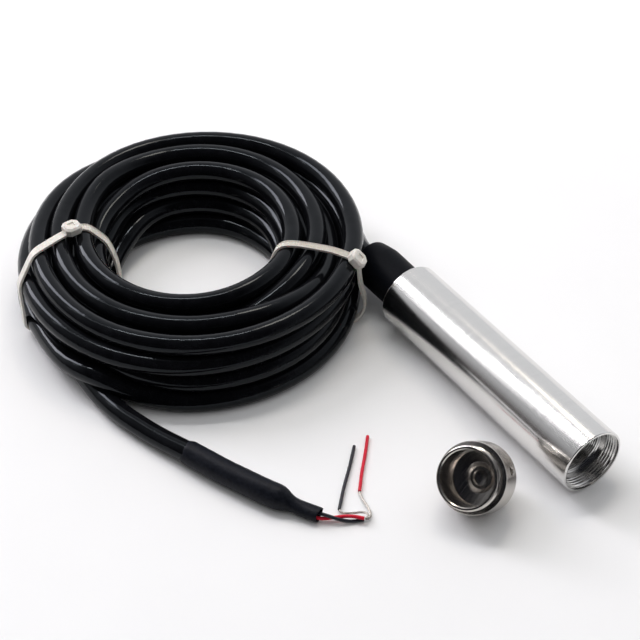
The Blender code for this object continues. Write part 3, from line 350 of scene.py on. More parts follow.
def cut(obj, cutters):
    """Cuts the given meshes out of a piece and keeps only the result."""
    joined = bmesh.new()
    for cutter in cutters:
        joined.from_mesh(cutter)
    mesh = bpy.data.meshes.new("cutter")
    joined.to_mesh(mesh)
    joined.free()
    cutter_obj = bpy.data.objects.new("cutter", mesh)
    bpy.context.scene.collection.objects.link(cutter_obj)
    modifier = obj.modifiers.new("cut", "BOOLEAN")
    modifier.operation = "DIFFERENCE"
    modifier.solver = "EXACT"
    modifier.object = cutter_obj
    graph = bpy.context.evaluated_depsgraph_get()
    result = bpy.data.meshes.new_from_object(obj.evaluated_get(graph))
    obj.modifiers.clear()
    obj.data = result
    bpy.data.objects.remove(cutter_obj, do_unlink=True)
    result.shade_smooth()
    result.set_sharp_from_angle(angle=math.radians(CUT_SHARP))


# Cable

# Stations of the coil, in millimetres (radius, height), a quarter turn apart:
# left (-119), front (-29), right (61) and back (151 degrees).  The cable climbs the
# outside, crosses the top twice, goes down the hole's wall and fills the layers between.
TURNS = (
    ((67.0, 4.0), (67.4, 4.0), (61.0, 4.0), (62.8, 4.0)),
    ((65.8, 11.0), (66.8, 11.0), (59.5, 11.0), (67.5, 11.0)),
    ((64.3, 18.0), (64.6, 18.0), (60.5, 18.0), (68.6, 18.0)),
    ((60.2, 25.2), (62.4, 25.2), (62.7, 25.2), (67.2, 25.2)),
    ((52.3, 25.2), (49.7, 25.2), (53.2, 18.5), (61.0, 18.0)),
    ((55.0, 18.0), (55.3, 18.0), (44.7, 18.0), (53.4, 18.0)),
    ((46.8, 18.0), (46.0, 18.2), (47.8, 25.2), (59.3, 25.2)),
    ((41.9, 25.2), (38.2, 25.2), (38.3, 25.2), (46.2, 25.2)),
    ((38.5, 18.0), (38.0, 18.0), (36.8, 18.0), (45.6, 18.0)),
    ((37.5, 11.0), (38.0, 11.0), (36.5, 11.0), (44.4, 11.0)),
    ((36.0, 4.0), (37.0, 4.0), (37.0, 4.0), (40.1, 4.0)),
    ((43.2, 4.0), (47.0, 4.0), (45.0, 4.0), (47.6, 4.0)),
    ((46.5, 11.0), (47.5, 11.0), (44.0, 11.0), (52.0, 11.0)),
    ((56.0, 11.0), (57.2, 11.0), (51.7, 11.0), (59.7, 10.6)),
    ((50.4, 4.0), (57.2, 4.0), (53.0, 4.0), (55.5, 4.2)),
)
# how far out the turns may lie, as (heading, radius)
WALL = ((-150.0, 74.0), (-119.0, 67.2), (-105.0, 65.8), (-95.0, 65.5), (-85.0, 67.0),
        (-75.0, 69.5), (-68.0, 70.5), (-60.0, 69.8), (-45.0, 68.2), (-29.0, 67.7),
        (0.0, 67.0), (30.0, 64.0), (45.0, 62.5), (61.0, 63.0), (75.0, 66.0), (90.0, 74.0))
TIE_HEADINGS = (-112.0, 40.0)  # where the ties pass under the coil
TIE_LIFT = 1.35                # and hold it off the floor
TIE_SPREAD = 13.0              # degrees of heading over which they lift it
STEP = 5.0                     # degrees between the cable's points in the coil
PER_TURN = round(360 / STEP)
ON_FLOOR = 4.0                 # height of a turn that lies on the floor
START = 151.0                  # heading where the lead-in joins
OVER_TAIL_AT = 282.0           # the lowest outer turn lies over the tail there
OVER_TAIL_SPAN = 37.0
OVER_TAIL_RISE = 7.4
WANDER = 0.22                  # uneven winding
NO_WALL = 90.0                 # radius that no turn reaches
LEAVING = 75.0                 # degrees at the coil's end that may pass the wall
HELD = 3                       # points at each end of the coil that stay where they are
SETTLE_STEPS = 900
PUSH_SHARE = 0.30              # of the overlap, the bend and the way back to the stations,
BEND_SHARE = 0.16              # what one step takes up
BACK_SHARE = 0.02
FIRST_BACK = (69.3, 4.0)       # where the lead-in joins the lowest outer turn, at the back
# the last stations, (heading, radius, height), where the tail leaves the coil
TAIL_STATIONS = ((241.0, 57.6, 4.0), (256.0, 58.0, 4.0), (270.0, 60.0, 4.0),
                 (283.0, 64.0, 4.0), (292.0, 67.7, 4.0), (301.0, 73.4, 4.1))
# the cable from the boot to the coil and from the coil to the sleeve, in millimetres
LEAD_IN = ((-68.15, 20.292, 13.0), (-71.45, 20.29, 13.0), (-77.6, 21.7, 12.2),
           (-83.9, 24.6, 10.2), (-90.6, 27.4, 7.9), (-98.0, 29.4, 5.8), (-106.0, 30.1, 4.6),
           (-115.0, 29.4, 4.1), (-126.0, 26.0, 4.0), (-137.0, 20.2, 4.0), (-147.5, 12.0, 4.0),
           (-156.3, 2.9, 4.0))
TAIL = ((-59.5, -102.6, 4.2), (-52.9, -101.4, 4.2), (-47.0, -99.85, 4.2), (-39.6, -97.7, 4.2),
        (-32.5, -95.3, 4.4), (-26.85, -93.2, 4.7), (-18.0, -89.9, 4.9), (-9.0, -86.6, 4.9))
APART = 7.94                   # between the middles of two turns that touch
CABLE_RADIUS = 0.004           # metres, as the two values below
ROUTE_SPACING = 0.004
BESIDE = 0.0045


def coil_route():
    """The wound part of the cable, pushed apart until its turns lie beside each other."""
    keys = [(START, *FIRST_BACK)]
    for number, turn in enumerate(TURNS):
        for quarter, (radius, height) in enumerate(turn):
            keys.append((START + 360.0 * number + 90.0 * (quarter + 1), radius, height))
    base = 360.0 * len(TURNS)
    keys += [(base + heading, radius, height) for heading, radius, height in TAIL_STATIONS]
    headings = np.arange(keys[0][0], keys[-1][0] + 0.01, STEP)
    known = np.array(keys)
    slopes = np.gradient(known[:, 1:], known[:, 0], axis=0)
    place = np.clip(np.searchsorted(known[:, 0], headings, side="right") - 1, 0, len(known) - 2)
    run = known[place + 1, 0] - known[place, 0]
    t = ((headings - known[place, 0]) / run)[:, None]
    run = run[:, None]
    want = ((2 * t ** 3 - 3 * t ** 2 + 1) * known[place, 1:]
            + (t ** 3 - 2 * t ** 2 + t) * run * slopes[place]
            + (3 * t ** 2 - 2 * t ** 3) * known[place + 1, 1:]
            + (t ** 3 - t ** 2) * run * slopes[place + 1])
    turn_angle = np.radians(headings)
    want[:, 0] += WANDER * np.sin(turn_angle * 3.37 + 1.0) * np.sin(turn_angle * 0.61)
    local = (headings - OVER_TAIL_AT + 180.0) % 360.0 - 180.0
    over_tail = (headings < START + 360.0) & (np.abs(local) < OVER_TAIL_SPAN)
    hump = np.cos(local[over_tail] / OVER_TAIL_SPAN * np.pi / 2) ** 0.6
    want[over_tail, 1] += OVER_TAIL_RISE * hump
    around = (headings + 180.0) % 360.0 - 180.0
    wall = np.interp(around, *np.array(WALL).T)
    wall[headings > headings[-1] - LEAVING] = NO_WALL
    floor = np.full(len(headings), ON_FLOOR)
    for tie in TIE_HEADINGS:
        floor += TIE_LIFT * np.exp(-((around - tie) / TIE_SPREAD) ** 2)
    floor[-HELD - 1:] = ON_FLOOR
    spots = want.copy()
    free = slice(HELD, len(spots) - HELD)
    for _ in range(SETTLE_STEPS):
        push = np.zeros_like(spots)
        for turns in range(1, len(TURNS) + 2):
            lag = turns * PER_TURN
            if lag >= len(spots):
                break
            gap = spots[lag:] - spots[:-lag]
            size = np.maximum(np.hypot(gap[:, 0], gap[:, 1]), 1e-6)[:, None]
            short = np.maximum(0.0, APART - size) * gap / size
            push[lag:] += short
            push[:-lag] -= short
        bend = np.zeros_like(spots)
        bend[1:-1] = spots[2:] + spots[:-2] - 2 * spots[1:-1]
        step = PUSH_SHARE * push + BEND_SHARE * bend + BACK_SHARE * (want - spots)
        spots[free] += step[free]
        spots[:, 1] = np.maximum(spots[:, 1], floor)
        spots[:, 0] = np.minimum(spots[:, 0], wall)
    return headings, spots


def coil_points(headings, spots):
    """The coil's points in the frame, in metres."""
    angles = np.radians(headings)
    return [COIL_CENTRE + Vector((r * math.cos(a), r * math.sin(a), z)) * MM
            for a, (r, z) in zip(angles, spots)]


def in_metres(points):
    return [Vector(p) * MM for p in points]


def index_near(points, spot):
    """The first point of a route that lies beside the spot."""
    return next(index for index, point in enumerate(points)
                if (point - spot).length < BESIDE)


def build_cable(headings, spots):
    """One cord from the boot, round the coil and out to the sleeve."""
    wound = coil_points(headings, spots)
    lead_in = curve_points([*in_metres(LEAD_IN), *wound[:3]], ROUTE_SPACING)
    join = index_near(lead_in, wound[0])
    tail = curve_points([*wound[-3:], *in_metres(TAIL)], ROUTE_SPACING)
    leave = index_near(tail, wound[-1]) + 1
    route = lead_in[:join] + wound + tail[leave + 1:]
    curve = tube_curve("laid_cable", [route], CABLE_RADIUS, 9)
    return add("laid_cable", curve, JACKET, "cable_jacket",
               "cable_lead_in", "cable_coil", "cable_tail")


# End of the cable

# routes in millimetres
SLEEVE = ((-23.25, -91.81, 4.9), (-16.85, -89.51, 4.9), (-7.35, -86.01, 4.9),
          (6.55, -80.11, 4.9), (12.65, -77.01, 4.6), (16.75, -74.51, 3.6),
          (21.65, -71.71, 2.9), (27.15, -68.51, 2.8))
PAIR = ((24.15, -70.51, 2.6), (27.15, -68.51, 2.4), (30.15, -64.91, 2.0),
        (32.95, -61.11, 1.7), (35.15, -57.91, 1.6), (36.55, -55.91, 1.6))
STRANDS = (
    ("black_strand_bundle", "black_strands",
     ((37.05, -55.91, 2.3), (37.25, -55.21, 2.3), (36.45, -54.21, 2.3), (34.95, -54.01, 2.1),
      (33.35, -55.11, 1.7), (31.85, -57.21, 1.2), (29.55, -60.11, 0.9), (27.75, -60.51, 0.9))),
    ("red_strand_bundle", "red_strands",
     ((36.35, -55.41, 0.9), (36.65, -54.71, 0.9), (36.65, -53.51, 1.0), (35.45, -52.41, 1.0),
      (32.15, -51.31, 1.0), (27.95, -50.61, 0.9), (24.55, -49.51, 0.9))),
)
TIPS = (
    ("black_tip_sleeve", "black_tip", BLACK, "black_insulation",
     ((27.45, -60.31, 0.9), (4.75, -38.01, 0.9))),
    ("red_tip_sleeve", "red_tip", RED, "red_insulation",
     ((24.25, -49.31, 0.9), (3.35, -31.01, 0.9))),
)
SLEEVE_RADIUS = 0.0046
NECK_RADIUS = 0.0027           # where it is shrunk on to the leads
NECK_FROM = 0.70               # shares of the sleeve's length
NECK_LENGTH = 0.13
FLAT_FROM = 0.80
FLAT_LENGTH = 0.08
FLATTENED = 0.10
WRINKLED = 0.008
RAGGED = 0.0004                # the cut edge's unevenness, in metres
MOUTH_WAVE = 0.0002


def sleeve_radius(share):
    """The sleeve's outer radius at a share of its length, easing down to the neck."""
    ease = min(1.0, max(0.0, (share - NECK_FROM) / NECK_LENGTH))
    ease = ease * ease * (3 - 2 * ease)
    return SLEEVE_RADIUS + (NECK_RADIUS - SLEEVE_RADIUS) * ease


def build_sleeve():
    """The shrink sleeve: a ragged cut end on the jacket, folds, and a flattened neck."""
    points = curve_points(in_metres(SLEEVE), 0.0006)
    last = len(points) - 1

    def ring(scale=1.0, ragged=0.0, share=0.0, mouth=False):
        def at(angle):
            wrinkle = 1.0 + WRINKLED * math.sin(3 * angle + 55 * share) * math.sin(31 * share)
            neck = min(1.0, max(0.0, (share - FLAT_FROM) / FLAT_LENGTH))
            flat = 1.0 + FLATTENED * neck * math.cos(2 * angle)
            radius = sleeve_radius(share) * wrinkle * flat * scale
            shift = ragged * (math.sin(3 * angle + 0.6) + 0.5 * math.sin(7 * angle + 2.0))
            if mouth:
                shift = MOUTH_WAVE * math.sin(2 * angle)
            return radius, shift
        return at

    profile = [(0, ring(0.90, ragged=0.75 * RAGGED)), (0, ring(0.97, ragged=RAGGED)),
               (1, ring(1.0, ragged=RAGGED, share=1 / last))]
    for index in range(2, last):
        profile.append((index, ring(share=index / last)))
    profile.append((last, ring(0.97, share=1.0, mouth=True)))
    profile.append((last, ring(0.88, share=1.0, mouth=True)))
    for back in (2, 5, 8):
        profile.append((last - back, ring(0.85, share=1.0)))
    mesh = sleeve_mesh("heat_shrink_sleeve", points, profile)
    return add("heat_shrink_sleeve", mesh, SHRINK, "shrink_sleeve", "end_sleeve")


LEADS = (
    ("red_lead", "red_wire", math.pi, RED, "red_insulation"),
    ("black_lead", "black_wire", 0.0, BLACK, "black_insulation"),
)
LEAD_RADIUS = 0.00065
LEAD_REACH = 0.00085           # from the middle of the pair to the middle of a lead
LEAD_TWIST = math.radians(300.0)
FIBRES = 6                     # of a strand, round a middle one
FIBRE_RADIUS = 0.00015
FIBRE_REACH = 0.00029
FIBRE_TWIST = 0.16             # from each point to the next, in radians
TIP_RADIUS = 0.00062
TIP_BOW = 0.006                # sideways bow of a pulled-off end, as a share of its length


def wound_round(middle, reach, angle_at):
    """Points beside a route: reach from it, at the angle given for each of its points."""
    points = []
    for index, (point, (_, side, up)) in enumerate(zip(middle, frames_along(middle))):
        angle = angle_at(index)
        points.append(point + reach * (side * math.cos(angle) + up * math.sin(angle)))
    return points


def build_twisted_leads():
    """The two leads, wound round each other."""
    middle = curve_points(in_metres(PAIR), 0.00045)
    last = len(middle) - 1
    made = []
    for name, node, phase, finish, slot in LEADS:
        points = wound_round(middle, LEAD_REACH, lambda index: phase + LEAD_TWIST * index / last)
        made.append(add(name, tube_curve(name, [points], LEAD_RADIUS, 8), finish, slot, node))
    return made


def build_strands():
    """The leads' bare strands, of fine wires round a middle one."""
    made = []
    for name, node, route in STRANDS:
        middle = curve_points(in_metres(route), 0.0004)
        fibres = []
        for fibre in range(FIBRES + 1):
            start = 2 * math.pi * fibre / FIBRES
            reach = 0.0 if fibre == FIBRES else FIBRE_REACH
            fibres.append(wound_round(middle, reach, lambda index: start + FIBRE_TWIST * index))
        strand = tube_curve(name, fibres, FIBRE_RADIUS, 3)
        made.append(add(name, strand, COPPER, "tinned_copper", node))
    return made


def tip_ring(scale):
    return lambda angle: (TIP_RADIUS * scale, 0.0)


def build_tips():
    """The pulled-off ends of insulation: short open tubes, slightly bowed and uneven."""
    made = []
    for name, node, finish, slot, route in TIPS:
        start, end = in_metres(route)
        bow = UP.cross(end - start) * TIP_BOW
        points = curve_points([start, start.lerp(end, 0.33) + bow,
                               start.lerp(end, 0.67) - bow * 0.4, end], 0.001)
        last = len(points) - 1
        profile = [(2, tip_ring(0.55)), (0, tip_ring(0.6)), (0, tip_ring(0.94)), (1, tip_ring(1.0))]
        profile += [(index, tip_ring(1.0 + 0.03 * math.sin(1.9 * index)))
                    for index in range(2, last)]
        profile += [(last, tip_ring(0.94)), (last, tip_ring(0.6)), (last - 2, tip_ring(0.55))]
        made.append(add(name, sleeve_mesh(name, points, profile, 20), finish, slot, node))
    return made


# Turned parts

# Outlines are (depth behind the rim, radius) in millimetres.  Close rows beside an edge
# keep the shading of the long faces flat.

def build_tube():
    """The probe's tube, with the cap's thread in its mouth and a finer one deeper in."""
    outline = plain((0.0, 12.15), (0.0, 12.72), (0.1, 12.88), (0.28, 13.0), (0.36, 13.0),
                    (1.0, 13.0), (30.0, 13.0), (60.0, 13.0), (108.9, 13.0), (109.04, 13.0),
                    *arc(109.1, 12.1, 0.9, 90, 0), (110.0, 10.4), (86.5, 10.4), (86.5, 10.0),
                    (36.3, 10.0), (36.3, 8.0), (33.3, 8.0), (33.3, 9.8), (18.0, 9.8),
                    (18.0, 10.1))
    outline += threaded(17.9, 7.95, 10.1, 0.34, 0.85)
    outline += plain((7.9, 10.1), (7.5, 10.5), (7.5, 12.15), (6.05, 12.15))
    outline += threaded(6.0, 0.85, 11.75, 0.42, 1.15)
    outline += plain((0.8, 12.0), (0.3, 12.12))
    mesh = turned_mesh("probe_tube", outline, MOUTH, TUBE_AXIS, 160)
    add("probe_tube", mesh, STEEL, "stainless_steel", "probe_housing")


RING_DEPTH = 0.0137            # of the spanner ring's face behind the rim
SPANNER_SLOT = (0.0024, 0.03, 0.002)


def build_ring():
    """The spanner ring that holds the sensor, with its slot."""
    outline = plain((13.7, 6.75), (13.7, 9.5), (13.95, 9.78), (17.7, 9.78), (17.7, 6.5),
                    (13.95, 6.5))
    mesh = turned_mesh("spanner_ring", outline, MOUTH, TUBE_AXIS, 120)
    ring = add("spanner_ring", mesh, BORE_STEEL, "stainless_steel", "sensor_retaining_ring")
    slot = bmesh.new()
    bmesh.ops.create_cube(slot, size=1.0)
    bmesh.ops.scale(slot, verts=slot.verts, vec=SPANNER_SLOT)
    bmesh.ops.translate(slot, verts=slot.verts, vec=MOUTH - TUBE_AXIS * RING_DEPTH)
    cutter = bpy.data.meshes.new("slot")
    slot.to_mesh(cutter)
    slot.free()
    cut(ring, [cutter])


FOIL_STEPS = 40
FOIL_RADIUS = 8.2              # millimetres, as the values below
FOIL_FRONT = 19.0
FOIL_BACK = 19.3
FOIL_WAVE = 0.15
HALF_WAVE = 1.367


def build_diaphragm():
    """The sensor's corrugated foil."""
    front, back = [], []
    for index in range(FOIL_STEPS + 1):
        radius = FOIL_RADIUS * index / FOIL_STEPS
        wave = FOIL_WAVE * math.cos(math.pi * radius / HALF_WAVE)
        front.append((FOIL_FRONT + wave, radius))
        back.append((FOIL_BACK + wave, radius))
    mesh = turned_mesh("sensor_foil", plain(*front, *back[::-1]), MOUTH, TUBE_AXIS, 96, 60)
    add("sensor_foil", mesh, FOIL, "diaphragm_foil", "sensor_diaphragm")


def build_boot():
    """The strain-relief boot over the cable's exit."""
    outline = plain((107.8, 4.3), (107.8, 10.1), (110.0, 10.1), (110.0, 9.45), (110.25, 9.22),
                    (111.0, 9.2), (114.0, 9.24), (119.0, 9.3), (124.0, 9.37), (127.4, 9.4),
                    (128.2, 9.38), (129.0, 9.28), (131.0, 8.96), (133.0, 8.62),
                    *arc(135.0, 6.9, 1.3, 80, 0, 8), (136.3, 4.9), (136.1, 4.4), (135.6, 4.15))
    mesh = turned_mesh("strain_boot", outline, MOUTH, TUBE_AXIS, 112)
    add("strain_boot", mesh, BOOT, "boot_rubber", "rubber_boot")


CAP_RIM = Vector((54.15, -25.508, 19.568)) * MM
CAP_AXIS = Vector((0.28820, -0.70976, 0.64279))
INLETS = 4
INLET_TURN = 34.0              # degrees of the first one round the cap
INLET_DEPTH = 0.01075          # behind the rim


def build_cap():
    """The nose cap: a threaded neck, a stepped bore and side inlets."""
    outline = plain((0.0, 10.4), (0.0, 11.0), (0.1, 11.1))
    outline += threaded(0.2, 3.1, 11.3, 0.24, 0.95)
    outline += plain((3.2, 11.0), (3.7, 10.9), (4.85, 10.9), (4.9, 11.0), (4.9, 12.62),
                     (5.0, 12.86), (5.25, 13.0), (5.35, 13.0), (10.0, 13.0), (14.7, 13.0),
                     (14.8, 13.0), (15.0, 12.96), (24.3, 5.16), (24.42, 5.02), (24.48, 4.85),
                     (24.48, 0.0), (16.75, 0.0), (15.85, 2.8), (14.35, 2.8), (14.25, 2.9), (14.25, 4.0),
                     (14.15, 4.15), (13.1, 5.55), (13.05, 5.7), (13.05, 9.7), (12.95, 9.92),
                     (12.75, 10.0), (6.0, 10.05), (0.35, 10.05), (0.1, 10.3))
    mesh = turned_mesh("drilled_cap", outline, CAP_RIM, CAP_AXIS, 144)
    cap = add("drilled_cap", mesh, CAP_STEEL, "stainless_steel", "nose_cap")
    axis = CAP_AXIS.normalized()
    side = UP.cross(axis).normalized()
    up = axis.cross(side)
    middle = CAP_RIM - axis * INLET_DEPTH
    inlet = plain((-14.0, 0.0), (-14.0, 1.9), (-12.95, 1.75), (-12.75, 1.5), (-11.3, 1.5),
                  (-11.2, 1.4), (-11.2, 0.6), (-7.0, 0.6), (-7.0, 0.0))
    cutters = []
    for index in range(INLETS):
        angle = math.radians(INLET_TURN + 360.0 / INLETS * index)
        outward = side * math.cos(angle) + up * math.sin(angle)
        cutters.append(turned_mesh(f"inlet_{index}", inlet, middle, outward, 24))
    cut(cap, cutters)


# Ties

# name, node, (place round the coil's section from low inside, the strap's heading there),
# the head's place, and how far the strap stands off at its slack place
TIE_PATHS = (
    ("left_cable_tie", "tie_left",
     ((0.0, -127.0), (0.05, -124.0), (0.28, -104.0), (0.42, -102.5), (0.50, -106.0),
      (0.56, -110.0), (0.61, -114.0), (0.66, -118.5), (0.70, -123.0), (0.74, -127.5),
      (0.81, -130.5), (0.89, -133.5), (0.95, -133.0), (1.0, -127.0)), 0.715, 0.0),
    ("right_cable_tie", "tie_right",
     ((0.0, 33.0), (0.05, 34.0), (0.27, 36.0), (0.31, 38.5), (0.35, 43.0), (0.42, 43.5),
      (0.50, 41.0), (0.56, 40.5), (0.63, 43.0), (0.74, 44.0), (0.78, 43.5), (0.81, 41.5),
      (0.84, 36.5), (0.89, 33.0), (1.0, 33.0)), 0.552, 2.0),
)
# corners of the CAD coil's section: (radius, height, first and last angle round it)
SECTION = ((36.0, 5.5, 180, 270), (66.8, 5.5, 270, 360), (66.1, 15.35, 0, 12),
           (64.9, 25.2, 12, 90), (36.0, 25.2, 90, 180))
SECTION_REACH = 6.5            # from a corner out to the strap before it is drawn tight
SECTION_STEPS = 8
INNER_RADIUS = 36.0
OUTER_WIDTH = 30.8             # from there to the lowest outer turn
TOP_HEIGHT = 25.2
OVAL = 2.35
OVAL_HEADING = -35.5
DENT = 8.8                     # that the boot makes in the coil's lower side
DENT_HEADING = 67.0
DENT_SPAN = 30.0
DENT_HEIGHT = 8.0


def coil_shift(heading, height, radius):
    """The coil's oval and the dent that the boot makes, as the CAD coil has them."""
    oval = OVAL * math.cos(2 * (heading - math.radians(OVAL_HEADING)))
    off = math.remainder(heading - math.radians(DENT_HEADING), 2 * math.pi)
    off /= math.radians(DENT_SPAN)
    outer = max(0.0, (radius - INNER_RADIUS) / OUTER_WIDTH)
    low = min(1.0, max(0.0, (TOP_HEIGHT - height) / DENT_HEIGHT))
    dent = math.cos(off * math.pi / 2) ** 2 if abs(off) < 1 else 0.0
    return oval - DENT * dent * outer * low


def section_loop():
    """The coil's own section, from low inside, with room to tighten the strap."""
    points = []
    for radius, height, start, end in SECTION:
        for step in range(SECTION_STEPS + 1):
            angle = math.radians(start + (end - start) * step / SECTION_STEPS)
            points.append((radius + SECTION_REACH * math.cos(angle),
                           height + SECTION_REACH * math.sin(angle), radius))
    return points


TAUT_STEPS = 80                # points of the strap while it is drawn tight
TAUT_ROUNDS = 1500
STRAP_STEPS = 320              # and in its mesh
STRAP_THICK = 1.1              # millimetres, as the three values below
STRAP_CLEAR = 4.1              # from the middle of a turn to the strap's inside
STRAP_LOW = STRAP_THICK + 0.1  # the strap's inside over the floor
FAR_OFF = 1e4
SLACK_AT = 0.365               # place round the section, and how far to both sides
SLACK_SPREAD = 0.05


def strap_path(keys, slack, headings, spots):
    """Places, inside and outside of a strap drawn tight round the cable's turns."""
    loop = np.array(section_loop())
    closed = np.vstack([loop, loop[:1]])
    run = np.concatenate([[0.0], np.cumsum(np.hypot(*np.diff(closed[:, :2], axis=0).T))])
    run /= run[-1]
    places = np.arange(TAUT_STEPS) / TAUT_STEPS
    aim = np.interp(places, *np.array(keys).T)
    for _ in range(3):
        aim = 0.5 * aim + 0.25 * (np.roll(aim, 1) + np.roll(aim, -1))
    path = np.stack([np.interp(places, run, closed[:, k]) for k in range(2)], axis=1)
    base = np.interp(places, run, closed[:, 2])
    path[:, 0] += [coil_shift(math.radians(h), z, r) for h, z, r in zip(aim, path[:, 1], base)]
    turns = []
    for number in range(len(TURNS) + 2):
        at = aim + 360.0 * number
        inside = (at >= headings[0]) & (at <= headings[-1])
        middle = np.stack([np.interp(at, headings, spots[:, k]) for k in range(2)], axis=1)
        middle[~inside] = FAR_OFF
        turns.append(middle)
    turns = np.stack(turns, axis=1)
    for _ in range(TAUT_ROUNDS):
        path += 0.5 * (0.5 * (np.roll(path, 1, 0) + np.roll(path, -1, 0)) - path)
        away = path[:, None, :] - turns
        size = np.maximum(np.linalg.norm(away, axis=2, keepdims=True), 1e-6)
        path += (away / size * np.maximum(0.0, STRAP_CLEAR - size)).sum(axis=1)
        path[:, 1] = np.maximum(path[:, 1], STRAP_LOW)
    path[:, 0] += slack * np.exp(-((places - SLACK_AT) / SLACK_SPREAD) ** 2)
    fine_at = np.arange(STRAP_STEPS) / STRAP_STEPS
    wide = np.concatenate([places, [1.0]])
    ring = np.vstack([np.column_stack([path, aim]), [*path[0], aim[0]]])
    fine = np.stack([np.interp(fine_at, wide, ring[:, k]) for k in range(3)], axis=1)
    for _ in range(12):
        fine = 0.5 * fine + 0.25 * (np.roll(fine, 1, 0) + np.roll(fine, -1, 0))
    along = np.roll(fine, -2, 0) - np.roll(fine, 2, 0)
    normal = np.stack([along[:, 1], -along[:, 0]], axis=1)
    normal /= np.linalg.norm(normal, axis=1, keepdims=True)
    made = []
    for place, (radius, height, heading), (out, lift) in zip(fine_at, fine, normal):
        angle = math.radians(heading)
        spoke = Vector((math.cos(angle), math.sin(angle), 0.0))
        low = COIL_CENTRE + (spoke * radius + Vector((0, 0, height))) * MM
        made.append((place, low, low + (spoke * out + Vector((0, 0, lift))) * STRAP_THICK * MM))
    return made


STRAP_HALF_WIDTH = 0.0017      # metres, as all values of the ties below
STRAP_ACROSS = (-1.0, -0.88, -0.70, 0.70, 0.88, 1.0)
RIB_ACROSS = 0.8               # share of the half width that the ribs take
STRAP_RIM = 0.12               # chamfer of the strap's edges, as a share of its thickness
RIB_DROP = 0.55                # depth between two ribs, the same way
RIBS_FROM = 0.02               # place where they begin, past the head
HEAD_HALF_LENGTH = 0.0035
HEAD_HALF_WIDTH = 0.0033
HEAD_CORNER = 0.0014
HEAD_RINGS = ((0.0, 0.0003), (0.0004, 0.0), (0.0029, 0.0), (0.0036, 0.0006))
HEAD_WELL = ((0.0012, 0.0013), (-0.0014, 0.0013), (-0.0014, -0.0013), (0.0012, -0.0013))
WELL_FLOOR = 0.0031
WELL_TAPER = 0.9


def strap_mesh(name, fine, head_place):
    """The strap's closed loop, ribbed outside from the head on."""
    count = len(fine)
    verts, faces = [], []
    for index, (place, low, high) in enumerate(fine):
        along = (fine[(index + 1) % count][1] - fine[index - 1][1]).normalized()
        across = along.cross(high - low).normalized()
        thick = high - low
        between_ribs = place > head_place + RIBS_FROM and index % 2
        for share in STRAP_ACROSS:
            rim = STRAP_RIM if abs(share) == 1.0 else 0.0
            verts.append(low + across * (STRAP_HALF_WIDTH * share) + thick * rim)
        for share in STRAP_ACROSS[::-1]:
            rim = STRAP_RIM if abs(share) == 1.0 else 0.0
            drop = RIB_DROP if between_ribs and abs(share) < RIB_ACROSS else 0.0
            verts.append(high + across * (STRAP_HALF_WIDTH * share) - thick * (rim + drop))
    ring = 2 * len(STRAP_ACROSS)
    for index in range(count):
        after = (index + 1) % count
        for step in range(ring):
            beside = (step + 1) % ring
            faces.append((index * ring + step, index * ring + beside,
                          after * ring + beside, after * ring + step))
    return mesh_from(f"{name}_strap", verts, faces, 40)


def head_mesh():
    """The head: an octagonal block with a shallow well in its top, lying along X."""
    head = bmesh.new()
    rings = []
    for height, inset in HEAD_RINGS:
        long, wide, corner = HEAD_HALF_LENGTH - inset, HEAD_HALF_WIDTH - inset, HEAD_CORNER
        outline = ((long, wide - corner), (long - corner, wide),
                   (corner - long, wide), (-long, wide - corner),
                   (-long, corner - wide), (corner - long, -wide),
                   (long - corner, -wide), (long, corner - wide))
        rings.append([head.verts.new((x, y, height)) for x, y in outline])
    for low, high in zip(rings, rings[1:]):
        for side in range(8):
            after = (side + 1) % 8
            head.faces.new((low[side], low[after], high[after], high[side]))
    head.faces.new(rings[0][::-1])
    top = rings[-1]
    top_height = HEAD_RINGS[-1][0]
    well = [head.verts.new((x, y, top_height)) for x, y in HEAD_WELL]
    floor = [head.verts.new((v.co.x * WELL_TAPER, v.co.y * WELL_TAPER, WELL_FLOOR))
             for v in well]
    # two sides of the octagon meet each corner of the well
    for side in range(8):
        after = (side + 1) % 8
        if side // 2 == after // 2:
            head.faces.new((top[side], top[after], well[side // 2]))
        else:
            head.faces.new((top[side], top[after], well[after // 2], well[side // 2]))
    for side in range(4):
        after = (side + 1) % 4
        head.faces.new((well[side], well[after], floor[after], floor[side]))
    head.faces.new(floor)
    bmesh.ops.recalc_face_normals(head, faces=head.faces)
    return head


def build_tie(name, node, keys, head_place, slack, headings, spots):
    """A cable tie drawn tight: the strap's loop and the head that sits on it."""
    fine = strap_path(keys, slack, headings, spots)
    count = len(fine)
    spot = min(range(count), key=lambda index: abs(fine[index][0] - head_place))
    _, low, high = fine[spot]
    along = (fine[(spot + 6) % count][1] - fine[spot - 6][1]).normalized()
    outward = high - low
    outward = (outward - along * outward.dot(along)).normalized()
    pose = Matrix((along, along.cross(outward), outward)).transposed().to_4x4()
    pose.translation = low
    head = head_mesh()
    head.transform(pose)
    head_data = bpy.data.meshes.new("head")
    head.to_mesh(head_data)
    head.free()
    joined = bmesh.new()
    joined.from_mesh(strap_mesh(name, fine, head_place))
    joined.from_mesh(head_data)
    mesh = bpy.data.meshes.new(name)
    joined.to_mesh(mesh)
    joined.free()
    mesh.shade_smooth()
    mesh.set_sharp_from_angle(angle=math.radians(35))
    add(name, mesh, NYLON, "tie_nylon", node)


# Room

